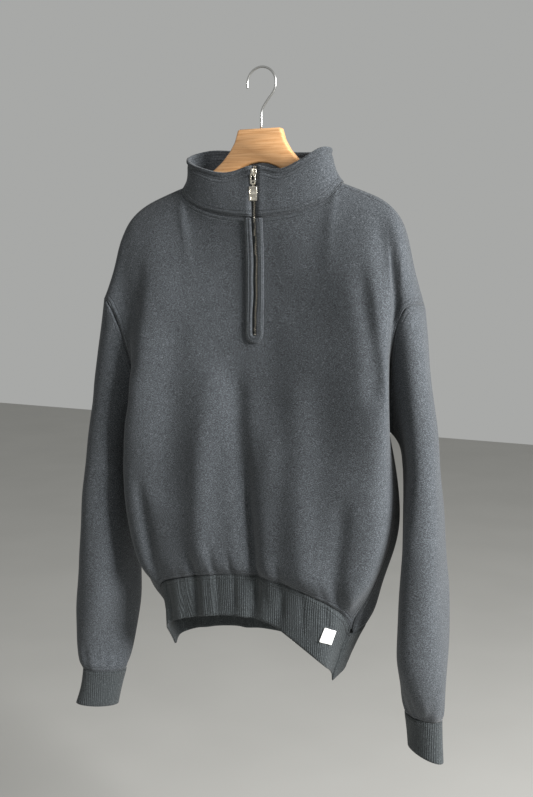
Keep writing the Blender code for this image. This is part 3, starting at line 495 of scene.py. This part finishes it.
# %% Creases on the body
# x_top, z_top, x_foot, z_foot, width and depth, in millimetres; a depth below 0 is a ridge
FRONT_CREASES = (
    (-150, -690, -134, -760, 5.0, 2.6), (-118, -672, -108, -742, 4.5, 1.8),
    (-97, -655, -86, -730, 5.0, 3.4), (-70, -668, -66, -722, 4.0, 1.5),
    (-60, -640, -52, -716, 5.0, 2.4), (-34, -650, -24, -708, 4.0, 2.2),
    (-6, -560, 9, -702, 5.5, 3.6), (26, -665, 27, -700, 4.0, 1.2), (46, -655, 51, -706, 4.5, 2.4),
    (78, -668, 84, -722, 4.5, 1.6), (112, -680, 118, -748, 5.0, 2.0),
    (128, -676, 138, -756, 4.5, 2.6), (150, -560, 132, -700, 12.0, 3.6),
    (178, -190, 205, -330, 11.0, 5.4),
    (160, -255, 188, -395, 12.0, 4.6), (-176, -245, -190, -380, 13.0, 4.2),
    (-178, -560, -150, -745, 9.0, 4.2), (-60, -380, -76, -640, 20.0, -3.8),
    (70, -400, 92, -660, 24.0, -3.6), (-120, -320, -128, -560, 26.0, 3.6),
    (-26, -400, 4, -690, 15.0, 5.0), (36, -470, 30, -680, 18.0, -2.6),
)
BACK_CREASES = (
    (-130, -690, -118, -765, 5.0, 3.0), (-96, -680, -90, -758, 4.5, 2.0),
    (-62, -670, -58, -752, 5.0, 3.2), (-30, -650, -24, -742, 5.0, 2.4),
    (2, -670, 4, -740, 4.5, 1.8), (34, -655, 32, -742, 5.5, 3.4),
    (66, -676, 62, -750, 4.5, 2.0), (98, -664, 92, -760, 5.0, 2.8),
    (130, -690, 120, -765, 5.0, 2.2), (-170, -245, -196, -390, 11.0, 3.0),
    (168, -245, 190, -390, 11.0, 3.0), (-40, -300, -52, -600, 26.0, 2.0),
    (70, -320, 64, -600, 28.0, 2.2), (-110, -440, -118, -680, 18.0, -2.0),
)
CREASE_FADE = 46.0
# a crease keeps its depth a little past its foot, and then fades
FOOT_OVERRUN = 25.0
FOOT_FADE = 30.0
UNEVEN_MM = 2.8
UNEVEN_SIZE = 80.0
SEED_APART = 40.0
FRONT_SEED = 1.0
BACK_SEED = 2.0
# seams hold the cloth still, except at the waistband, which sinks with it
SEAM_STILL = 0.6
SEAM_FADE = 9.0
RIB_FROM_Z = -620.0
RIB_FADE = 60.0
RIB_SHARE = 0.8
# the cloth stays calm round the zip, whose middle is at ZIP_X and whose round foot starts at BEND_Z
ZIP_X = 4.0
BEND_Z = -357.0
CALM_HALF = 17.0
CALM_FADE = 45.0


def smooth(share):
    """A share from 0 to 1 that starts and ends gently."""
    share = np.clip(share, 0.0, 1.0)
    return share * share * (3.0 - 2.0 * share)


def pressed(points, creases):
    """How deep each point sinks in a list of creases, in millimetres."""
    depth_here = np.zeros(len(points))
    for x_top, z_top, x_foot, z_foot, width, depth in creases:
        share = (points[:, 2] - z_top) / (z_foot - z_top)
        line = x_top + (x_foot - x_top) * np.clip(share, 0.0, 1.0)
        across = np.exp(-((points[:, 0] - line) / width) ** 2)
        along = smooth((z_top - points[:, 2]) / CREASE_FADE)
        past = smooth(1.0 - (z_foot - FOOT_OVERRUN - points[:, 2]) / FOOT_FADE)
        depth_here += depth * across * along * past
    return depth_here


def uneven(points, seed):
    """The slow unevenness of hanging cloth, the same on both faces of the wall."""
    return np.array([noise.noise(Vector((x, z, seed * SEED_APART)) / UNEVEN_SIZE)
                     for x, _, z in points])


def sinking(points, creases, seed):
    """How far creases and unevenness together sink each point, in millimetres."""
    return pressed(points, creases) - UNEVEN_MM * uneven(points, seed)


def free_of_seam(node):
    """From 0 at a piece's seams to 1 about 10 mm away from them."""
    return smooth((from_seam[node] - SEAM_STILL) / SEAM_FADE)


for node, creases, outward, seed in (("front_panel", FRONT_CREASES, -1.0, FRONT_SEED),
                                     ("back_panel", BACK_CREASES, 1.0, BACK_SEED)):
    made = shells[node]
    points = points_of(made)
    sunk = sinking(points, creases, seed)
    at_rib = RIB_SHARE * smooth((RIB_FROM_Z - points[:, 2]) / RIB_FADE)
    from_zip = np.hypot(points[:, 0] - ZIP_X, np.minimum(points[:, 2] - BEND_Z, 0.0))
    calm = smooth((from_zip - CALM_HALF) / CALM_FADE) if outward < 0 else 1.0
    points[:, 1] -= outward * sunk * calm * np.maximum(free_of_seam(node), at_rib)
    put_points(made, points)
print("creases on the body:", len(FRONT_CREASES) + len(BACK_CREASES))

# %% [markdown]
# Gathers don't stop at the waistband's seam, which would gape wherever a crease met it. So the
# waistband takes the same creases: the front's list where it lies nearer to the front panel, and
# the back's list elsewhere.

# %% Creases in the waistband
made = shells["hem_rib"]
points = points_of(made)
front = np.array([trees["front_panel"].find_nearest(Vector(p) * MM)[3]
                  < trees["back_panel"].find_nearest(Vector(p) * MM)[3] for p in points])
on_front = sinking(points, FRONT_CREASES, FRONT_SEED)
on_back = sinking(points, BACK_CREASES, BACK_SEED)
points[:, 1] += RIB_SHARE * np.where(front, on_front, -on_back)
put_points(made, points)
print("waistband points on the front:", int(front.sum()))

# %% [markdown]
# ## Creases on the sleeves
#
# A sleeve is a tube, so its creases are placed by the angle round it and not by x. The tube's
# middle is found at each height first, and every point then moves in or out from it. Short
# gathers stand above the cuff, where the wide sleeve is pulled in.

# %% Sleeves
# turn round the sleeve in degrees, z_top, z_foot, width in degrees, depth, and slant in degrees
SLEEVE_CREASES = {
    "sleeve_right": (
        (200, -835, -884, 9, 2.4, 6), (228, -842, -884, 8, 1.8, -4), (255, -830, -884, 10, 2.8, 5),
        (282, -840, -884, 9, 2.0, 0), (310, -836, -884, 9, 2.4, -6), (335, -845, -884, 8, 1.6, 4),
        (20, -838, -884, 9, 2.4, 0), (60, -842, -884, 10, 2.0, 5), (100, -836, -884, 9, 2.6, -4),
        (150, -840, -884, 9, 2.0, 3), (250, -440, -640, 20, 2.4, 30),
        (285, -520, -760, 24, 2.0, -26), (215, -620, -830, 18, -1.6, 10),
        (90, -440, -700, 22, 2.6, -24), (150, -520, -760, 20, 2.2, 20),
    ),
    "sleeve_left": (
        (195, -842, -890, 9, 2.4, -6), (225, -848, -890, 8, 1.8, 5), (250, -838, -890, 10, 2.6, -4),
        (278, -846, -890, 9, 2.2, 6), (305, -840, -890, 9, 2.0, 0), (340, -850, -890, 8, 1.8, -5),
        (15, -842, -890, 9, 2.2, 4), (55, -846, -890, 10, 2.4, 0), (95, -840, -890, 9, 2.0, -4),
        (145, -845, -890, 9, 2.4, 3), (235, -430, -620, 20, 2.6, -28),
        (275, -540, -770, 22, 2.2, 24), (80, -440, -690, 22, 2.4, 20),
        (140, -540, -780, 20, 2.0, -22),
    ),
}
BAND_HALF = 16.0
DEPTH_STRETCH = 1.5
SLEEVES_APART = 9.0
# a crease whose foot lies below CUFF_Z runs on into the cuff's seam and doesn't fade
CUFF_Z = -860.0
GATHER_FROM_Z = -800.0
GATHER_FADE = 50.0
GATHER_SHARE = 0.5


def tube_middle(points, bands=40):
    """The middle of a tube at each point's height, in x and y."""
    heights = np.linspace(points[:, 2].min(), points[:, 2].max(), bands)
    middles = []
    for height in heights:
        near = np.abs(points[:, 2] - height) < BAND_HALF
        spread = points[near, :2]
        middles.append((spread.min(axis=0) + spread.max(axis=0)) / 2.0)
    middles = np.array(middles)
    return np.column_stack([np.interp(points[:, 2], heights, middles[:, i]) for i in (0, 1)])


for seed, (node, creases) in enumerate(SLEEVE_CREASES.items()):
    made = shells[node]
    points = points_of(made)
    out = points[:, :2] - tube_middle(points)
    turn = np.degrees(np.arctan2(out[:, 1], out[:, 0])) % 360.0
    out /= np.linalg.norm(out, axis=1, keepdims=True)
    shift = Vector((SLEEVES_APART * seed, 0, 0))
    sunk = -UNEVEN_MM * np.array([
        noise.noise(Vector((x, y * DEPTH_STRETCH, z)) / UNEVEN_SIZE + shift)
        for x, y, z in points])
    for at, z_top, z_foot, width, depth, slant in creases:
        share = np.clip((points[:, 2] - z_top) / (z_foot - z_top), 0.0, 1.0)
        apart = (turn - at - slant * share + 180.0) % 360.0 - 180.0
        fade = min(CREASE_FADE, 0.5 * (z_top - z_foot))
        along = smooth((z_top - points[:, 2]) / fade)
        past = smooth((points[:, 2] - z_foot) / fade) if z_foot > CUFF_Z else 1.0
        sunk += depth * np.exp(-(apart / width) ** 2) * along * past
    gathered = GATHER_SHARE * smooth((GATHER_FROM_Z - points[:, 2]) / GATHER_FADE)
    points[:, :2] -= out * (sunk * np.maximum(free_of_seam(node), gathered))[:, None]
    put_points(made, points)
print("creases on the sleeves:", sum(len(c) for c in SLEEVE_CREASES.values()))

# %% [markdown]
# ## The collar's rolled edge
#
# The collar is one band turned over at the top and stitched down about 6 mm below. The turn is
# fat, and the stitches bite in under it. Points move along their own normals, so the edge
# thickens on both faces.

# %% Collar edge
ROLL_FAT = 1.15
ROLL_BELOW = 1.5
ROLL_HEIGHT = 3.4
BITE_DEEP = 1.25
BITE_HALF = 2.0
STITCH_BELOW = 6.2
SLACK_MM = 0.5
SLACK_SIZE = 26.0
NECK_STILL = 2.0
NECK_FADE = 8.0
# the neck is flat from front to back, so its turn is measured as if it were this much deeper
NECK_DEEPEN = 3.0
NO_TOP = -130.0
EDGE_SHARE = 0.8


def below_top(points, count=72):
    """How far each point lies below the collar's top edge."""
    turn = np.degrees(np.arctan2(points[:, 0], -points[:, 1] * NECK_DEEPEN)) % 360.0
    slots = (turn / 360.0 * count).astype(int) % count
    tops = np.array([points[slots == k, 2].max() if np.any(slots == k) else NO_TOP
                     for k in range(count)])
    middles = (np.arange(count) + 0.5) * 360.0 / count
    return np.interp(turn, middles, tops, period=360.0) - points[:, 2]


collar = shells["collar"]
points = points_of(collar)
below = below_top(points)
swell = ROLL_FAT * np.exp(-((below - ROLL_BELOW) / ROLL_HEIGHT) ** 2)
bite = BITE_DEEP * np.exp(-((below - STITCH_BELOW) / BITE_HALF) ** 2)
slack = np.array([SLACK_MM * noise.noise(Vector(p) / SLACK_SIZE) for p in points])
move = swell - bite + slack * smooth((from_seam["collar"] - NECK_STILL) / NECK_FADE)
put_points(collar, points + normals_of(collar) * move[:, None])
# painted shade: the seam distance is 0 at the stitch line under the rolled edge, so the cloth
# shader darkens it there
stitched = np.where(below < STITCH_BELOW, EDGE_SHARE * (STITCH_BELOW - below) / SEAM_REACH,
                    (below - STITCH_BELOW) / SEAM_REACH)
seam = collar.data.attributes["seam"].data
seam.foreach_set("value", np.clip(np.minimum(stitched, from_seam["collar"] / SEAM_REACH), 0, 1))
print("collar edge rolled, mm at most:", round(float(swell.max()), 2))

# %% [markdown]
# ## Ribs that run round a band
#
# The waistband and cuffs are knitted in ribs that stand upright and follow the band round. Object
# coordinates would squeeze them together at the sides. So each band gets a map of its own: its
# first number is millimetres round the band, and its second is the height.


# %% A map round each band
def unroll(made, count=96):
    """Writes a UV map with millimetres round the band, rounded to whole ribs."""
    points = points_of(made)
    level = points[:, :2]
    turn = np.arctan2(*((level - level.mean(axis=0)) / level.std(axis=0)).T[::-1])
    slots = ((turn + math.pi) / (2 * math.pi) * count).astype(int) % count
    used = [k for k in range(count) if np.any(slots == k)]
    ring = np.array([level[slots == k].mean(axis=0) for k in used])
    at = np.array([turn[slots == k].mean() for k in used])
    steps = np.linalg.norm(np.roll(ring, -1, axis=0) - ring, axis=1)
    whole = steps.sum()
    fit = round(whole / RIB_PITCH) * RIB_PITCH / whole
    lengths = np.concatenate([[0.0], np.cumsum(steps)]) * fit
    at = np.append(at, at[0] + 2 * math.pi)
    turn = np.where(turn < at[0], turn + 2 * math.pi, turn)
    round_mm = np.interp(turn, at, lengths)
    corners = np.empty(len(made.data.loops), int)
    made.data.loops.foreach_get("vertex_index", corners)
    starts = np.array([p.loop_start for p in made.data.polygons])
    totals = np.array([p.loop_total for p in made.data.polygons])
    u = round_mm[corners]
    largest = np.repeat(np.maximum.reduceat(u, starts), totals)
    u = np.where(largest - u > lengths[-1] / 2, u + lengths[-1], u)
    layer = made.data.uv_layers.new(name="band")
    layer.data.foreach_set("uv", np.column_stack([u, points[corners, 2]]).ravel())
    return lengths[-1]


for node in ("hem_rib", "cuff_left", "cuff_right"):
    print(node, "is", round(unroll(shells[node])), "mm round")

# %% [markdown]
# ## The zip
#
# A metal half zip: two twill tapes, each with a row of teeth set half a pitch apart so that they
# mesh. A tooth is a small bevelled block at the tape's edge. The chain isn't straight in hanging
# cloth, so its line sways a little to either side.

# %% Teeth
TOOTH_PITCH = 3.0
TOOTH_SIZE = (2.3, 1.7, 1.25)
TOOTH_ASIDE = 0.75
TOOTH_ROUND = 0.3
ROW_END = 1.0
SWAY = ((-145, 0.0), (-200, 0.0), (-225, 0.6), (-258, 1.7), (-282, 0.7), (-305, 1.3),
        (-330, -0.5), (-357, 0.0))


def sway(z):
    """How far the chain lies to the viewer's right at a height."""
    return float(np.interp(-z, [-s[0] for s in SWAY], [s[1] for s in SWAY]))


def tooth_row(side, node):
    """One row of teeth, as far forward as the solid strip that it stands for."""
    low, high = (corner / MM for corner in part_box(node))
    strip = points_of(frame["nodes"][node])
    form = bmesh.new()
    z = high.z - ROW_END - (TOOTH_PITCH / 2 if side > 0 else 0.0)
    count = 0
    while z > low.z + ROW_END:
        level = np.abs(strip[:, 2] - z)
        y = float(strip[level < level.min() + 0.1, 1].mean())
        place = Vector((ZIP_X + sway(z) + side * TOOTH_ASIDE, y, z)) * MM
        size = Matrix.Diagonal((*[s * MM for s in TOOTH_SIZE], 1.0))
        bmesh.ops.create_cube(form, size=1.0, matrix=Matrix.Translation(place) @ size)
        z -= TOOTH_PITCH
        count += 1
    bmesh.ops.bevel(form, geom=form.edges[:], offset=TOOTH_ROUND * MM, segments=1, profile=0.5,
                    affect="EDGES", material=-1)
    dress(as_object(form, node + "_row", nickel), node)
    return count


print("teeth:", tooth_row(-1, "zip_teeth_left"), tooth_row(1, "zip_teeth_right"))

# %% [markdown]
# The tapes are flat strips sewn into the opening. They sway with the teeth, but less, because the
# cloth holds their outer edges.

# %% Tapes
TAPE_SHARE = 0.6
tapes = {}
for node in ("zip_tape_left", "zip_tape_right"):
    made = refined(node + "_woven", node, tape_twill)
    points = points_of(made)
    points[:, 0] += np.array([sway(z) for z in points[:, 2]]) * TAPE_SHARE
    put_points(made, points)
    tapes[node] = made
print("tapes:", len(tapes))

# %% [markdown]
# The cloth is turned in along both sides of the zip as two fat lips that almost meet over the
# teeth. So the slit's edges move towards the chain and swell forward, and follow its sway.

# %% Lips over the zip
LIP_GAP = 3.3
LIP_SWELL = 1.5
LIP_WIDE = 6.0
WELT_HALF = 14.0
# the welt's outer edge and the collar beside its lip stay where they are
WELT_STILL = 1.0
COLLAR_FADE = 3.0
ABOVE_BEND = 20.0
welt = shells["placket"]
points = points_of(welt)
from_chain = np.column_stack([points[:, 0] - ZIP_X, np.minimum(points[:, 2] - BEND_Z, 0.0)])
reach = np.linalg.norm(from_chain, axis=1)
slit = float(reach[points[:, 2] > BEND_Z + ABOVE_BEND].min())
near_slit = smooth(1.0 - (reach - slit) / (WELT_HALF - slit - WELT_STILL))
inward = from_chain / np.maximum(reach, 0.1)[:, None]
points[:, [0, 2]] -= inward * ((slit - LIP_GAP) * near_slit)[:, None]
points[:, 0] += near_slit * np.array([sway(z) for z in points[:, 2]])
crown = np.exp(-((reach - slit - LIP_WIDE / 2) / (LIP_WIDE / 2)) ** 2)
points[:, 1] -= LIP_SWELL * crown
put_points(welt, points)
# painted shade: the seam distance is 0 along each lip's outer edge, so the cloth shader dents and
# darkens the welt there
lip_line = np.clip(np.abs(reach - slit - LIP_WIDE) / SEAM_REACH, 0.0, 1.0)
welt.data.attributes["seam"].data.foreach_set("value", lip_line)

points = points_of(collar)
aside = points[:, 0] - ZIP_X
at_front = points[:, 1] < 0.0
edge = float(np.abs(aside[at_front]).min())
fading = smooth(1.0 - (np.abs(aside) - edge) / (LIP_WIDE + COLLAR_FADE))
near_edge = np.where(at_front, fading, 0.0)
points[:, 0] -= np.sign(aside) * (edge - LIP_GAP) * near_edge
lip = np.exp(-((np.abs(aside) - edge - LIP_WIDE / 2) / (LIP_WIDE / 2)) ** 2)
points[:, 1] -= np.where(at_front, LIP_SWELL * lip, 0.0)
put_points(collar, points)
print("slit half widths, welt and collar:", round(slit, 1), round(edge, 1))

# %% [markdown]
# ## Hard pieces
#
# The slider, its link and tab, the stops and the wood come as solids with sharp edges. Real
# castings and shaped wood have small rounds, and these catch the light. Flat triangles are first
# dissolved back into whole faces, and then the edges are bevelled. The hook is round wire, so it
# is smoothed as the cloth is.

# %% Metal and wood
FLAT_ANGLE = math.radians(1.0)
BEVEL_ANGLE = math.radians(35)
SHARP_ANGLE = math.radians(40)
BEVEL_STEPS = 2


def hard_copy(name, node, finish, round_mm, body):
    """Makes a copy of a hard solid with whole faces and small rounded edges."""
    form = merged_form(node)
    bmesh.ops.dissolve_limit(form, angle_limit=FLAT_ANGLE, verts=form.verts, edges=form.edges)
    made = as_object(form, name, finish)
    edge = made.modifiers.new("round", "BEVEL")
    edge.width = round_mm * MM
    edge.segments = BEVEL_STEPS
    edge.limit_method = "ANGLE"
    edge.angle_limit = BEVEL_ANGLE
    apply_modifiers(made)
    made.data.shade_smooth()
    made.data.set_sharp_from_angle(angle=SHARP_ANGLE)
    dress(made, node, body)


HARD = (
    ("slider_body", "zip_slider", nickel, 0.15, GARMENT, "nickel"),
    ("pull_link_plate", "zip_pull_link", nickel, 0.15, LINK, "nickel"),
    ("pull_tab_plate", "zip_pull_tab", nickel, 0.12, TAB, "nickel"),
    ("top_stop_left", "zip_stop_left", nickel, 0.1, GARMENT, "nickel"),
    ("top_stop_right", "zip_stop_right", nickel, 0.1, GARMENT, "nickel"),
    ("bottom_stop", "zip_bottom_stop", nickel, 0.1, GARMENT, "nickel"),
    ("hanger_board", "hanger_wood", beech, 0.6, GARMENT, "beech"),
)
for name, node, finish, round_mm, body, slot in HARD:
    hard_copy(name, node, finish, round_mm, body)
dress(refined("hook_wire", "hanger_hook", steel), "hanger_hook")
print("hard pieces:", len(HARD) + 1)

# %% [markdown]
# ## The hem label
#
# A small woven label is sewn on the waistband. It is left bare. Its solid is already a true
# rectangle that lies on the band, so it needs its weave, and it sinks with the band's creases.

# %% Label
label = refined("hem_label_woven", "hem_label", label_damask)
points = points_of(label)
points[:, 1] += RIB_SHARE * sinking(points, FRONT_CREASES, FRONT_SEED)
put_points(label, points)
print("label points:", len(label.data.vertices))

# %% [markdown]
# ## Stitches
#
# Topstitching is thread that dives in and out of the cloth, so what shows is a row of short
# lozenges. Each is a little stretched sphere, laid on the finished cloth by looking for its
# nearest point. Two rows lie under the neck seam and one above it, and two run round the placket.
# The other seams have their stitch lines in the material alone.

# %% Stitch rows
STITCH_PITCH = 3.4
STITCH_LONG = 2.5
STITCH_WIDE = 0.62
STITCH_SIDES = 6
STITCH_RINGS = 4
THREAD_LIFT = 0.12
# a stitch is left out where the next one landed too far off or too near, in pitches
GAP_MOST = 2.2
GAP_LEAST = 0.3


def surface_of(made):
    """A search tree of a finished piece's surface."""
    graph = bpy.context.evaluated_depsgraph_get()
    return BVHTree.FromObject(made, graph)


bpy.context.view_layer.update()
surfaces = {node: surface_of(made) for node, made in shells.items()}


def evenly(path, pitch):
    """Points a stitch apart along a path in millimetres."""
    path = np.asarray(path, float)
    lengths = np.concatenate([[0.0], np.cumsum(np.linalg.norm(np.diff(path, axis=0), axis=1))])
    at = np.arange(pitch / 2, lengths[-1], pitch)
    return np.column_stack([np.interp(at, lengths, path[:, i]) for i in range(3)])


def sew(form, path, node, reach=14.0):
    """Lays a row of stitches on a piece, along a path that runs near it."""
    landed = []
    for point in evenly(path, STITCH_PITCH):
        place, out, _, _ = surfaces[node].find_nearest(Vector(point) * MM, reach * MM)
        if place is not None:
            landed.append((place, out))
    for (here, out), (there, _) in zip(landed, landed[1:]):
        along = there - here
        if along.length > GAP_MOST * STITCH_PITCH * MM:
            continue
        if along.length < GAP_LEAST * STITCH_PITCH * MM:
            continue
        along.normalize()
        side = out.cross(along).normalized()
        lift = side.cross(along) * -1.0
        turned = Matrix((along, side, lift)).transposed().to_4x4()
        size = Matrix.Diagonal((STITCH_LONG * MM, STITCH_WIDE * MM, STITCH_WIDE * MM, 1.0))
        middle = Matrix.Translation(here + out * THREAD_LIFT * MM)
        bmesh.ops.create_uvsphere(form, u_segments=STITCH_SIDES, v_segments=STITCH_RINGS,
                                  radius=0.5, matrix=middle @ turned @ size)


def finish_rows(form, name):
    """Makes rows of stitches one piece that rides on the garment, and counts the stitches."""
    made = as_object(form, name, thread_cotton)
    made.data.shade_smooth()
    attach(made, GARMENT)
    return len(made.data.polygons) // (STITCH_SIDES * STITCH_RINGS)


print("surfaces to sew on:", len(surfaces))

# %% [markdown]
# The neck seam is a slanted oval that dips more at the front than at the back. Its sizes are the
# garment's own: half its width, how far it drops, and how far it stands forward and back.

# %% Neck stitches
# each row's place is its lift above the seam and how far it stands out from it
PANEL_ROWS = ((-3.6, 5.0), (-8.2, 6.0))
COLLAR_ROW = (4.4, 4.0)
NECK_HALF_WIDTH = 121.0
NECK_SIDE_Z = -153.0
NECK_DROP = {True: 46.0, False: 13.0}
NECK_Y = {True: -27.0, False: 31.0}
NECK_ROUNDNESS = 0.6


def neck_path(lift, out, first, last, front, steps=90):
    """A line beside the neck seam, between two angles round from the front centre."""
    path = []
    for turn in np.radians(np.linspace(first, last, steps)):
        reach = abs(math.cos(turn))
        x = NECK_HALF_WIDTH * math.sin(turn) + (ZIP_X * reach**2 if front else 0.0)
        y = NECK_Y[front] * reach**NECK_ROUNDNESS
        z = NECK_SIDE_Z - NECK_DROP[front] * reach
        path.append((x * (1 + out / NECK_HALF_WIDTH), y + out * (-1 if front else 1), z + lift))
    return path


form = bmesh.new()
for first, last, panel, front in ((8, 84, "front_panel", True), (-84, -8, "front_panel", True),
                                  (96, 264, "back_panel", False)):
    for lift, out in PANEL_ROWS:
        sew(form, neck_path(lift, out, first, last, front), panel)
    sew(form, neck_path(*COLLAR_ROW, first, last, front), "collar")
print("neck stitches:", finish_rows(form, "neck_stitches"))

# %% [markdown]
# The placket's two rows run down one side, round its foot and up the other. Their path is drawn a
# little in front of the cloth, and each stitch drops onto it.

# %% Placket stitches
ROW_INSETS = (1.9, 5.3)
ROW_TOP = -202.0
IN_FRONT = 2.0
SEW_FROM = 30.0
row_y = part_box("placket")[0].y / MM - IN_FRONT
form = bmesh.new()
for inset in ROW_INSETS:
    half = WELT_HALF - inset
    path = [(ZIP_X - half, row_y, z) for z in np.linspace(ROW_TOP, BEND_Z, 30)]
    path += [(ZIP_X + half * math.cos(a), row_y, BEND_Z + half * math.sin(a))
             for a in np.radians(np.linspace(180, 360, 20))]
    path += [(ZIP_X + half, row_y, z) for z in np.linspace(BEND_Z, ROW_TOP, 30)]
    sew(form, path, "placket", reach=SEW_FROM)
print("placket stitches:", finish_rows(form, "placket_stitches"))

# %% [markdown]
# ## Whose place each piece takes
#
# Each piece of cloth now stands for its solid, in its place, and rides on the garment.

dress(label, "hem_label")
for node, made in tapes.items():
    dress(made, node)
for node, (slot, _) in CLOTH.items():
    dress(shells[node], node)
print("cloth pieces declared:", 1 + len(tapes) + len(shells))

# %% [markdown]


# %% [markdown]
# ## Floor and light
#
# A plain pale floor and soft light, as in a studio. One broad lamp stands on the right of the
# camera and a weak one fills from the left, so that the near sleeve stays lighter than the
# far one and the folds across the front show. The plain Standard view keeps the floor pale.

# %% Stage
AIR_LIGHT = 0.62
FLOOR_DROP = 0.42
FLOOR_HALF = 5.0
pale, tree, shader = new_material("pale_matt_floor_paint")
wash = add_node(tree, "ShaderNodeTexNoise", {"Vector": stretched(tree, (3.0, 3.0, 3.0)),
                                             "Scale": 1.0}).outputs["Fac"]
tree.links.new(ramp(tree, wash, (0.3, linear("#a9a8a4")), (0.7, linear("#adaca8"))),
               shader.inputs["Base Color"])
shader.inputs["Roughness"].default_value = 0.9
form = bmesh.new()
bmesh.ops.create_grid(form, x_segments=4, y_segments=4, size=FLOOR_HALF)
bmesh.ops.translate(form, verts=form.verts, vec=(0, 0, cad_box[0][2] - FLOOR_DROP))
as_object(form, "floor", pale)

world = bpy.data.worlds.new("studio_air")
world.use_nodes = True
air = world.node_tree.nodes["Background"]
air.inputs["Color"].default_value = linear("#d0d1cf")
air.inputs["Strength"].default_value = AIR_LIGHT
bpy.context.scene.world = world
bpy.context.scene.view_settings.view_transform = "Standard"


def soft_lamp(name, place, aim, size, watts):
    """A broad square lamp that looks at a point."""
    lamp = bpy.data.lights.new(name, "AREA")
    lamp.size = size
    lamp.energy = watts
    made = bpy.data.objects.new(name, lamp)
    made.location = place
    made.rotation_euler = (Vector(aim) - Vector(place)).to_track_quat("-Z", "Y").to_euler()
    bpy.context.scene.collection.objects.link(made)


MIDDLE = (0.0, 0.0, -0.5)
soft_lamp("key", (2.45, -0.6, 0.4), MIDDLE, 0.9, 205.0)
soft_lamp("fill", (-1.3, -2.1, 1.0), MIDDLE, 1.5, 2.0)
print("lamps aim at:", MIDDLE)

# %% [markdown]
# ## Camera
#
# The camera stands where the photograph was taken from: turned 27 degrees to the right of the
# front, and looking down a little.

# %% Camera
CAMERA_PLACE = (0.70636, -1.36847, -0.24344)
CAMERA_TURN = 27.0
CAMERA_DOWN = 7.6407
lens = bpy.data.cameras.new("photo_view")
lens.sensor_fit = "VERTICAL"
lens.sensor_height = 36.0
lens.lens = 50.0
camera = bpy.data.objects.new("photo_view", lens)
camera.location = CAMERA_PLACE
camera.rotation_euler = (math.radians(90.0 - CAMERA_DOWN), 0.0, math.radians(CAMERA_TURN))
bpy.context.scene.collection.objects.link(camera)
bpy.context.scene.camera = camera
print("camera at", CAMERA_PLACE)
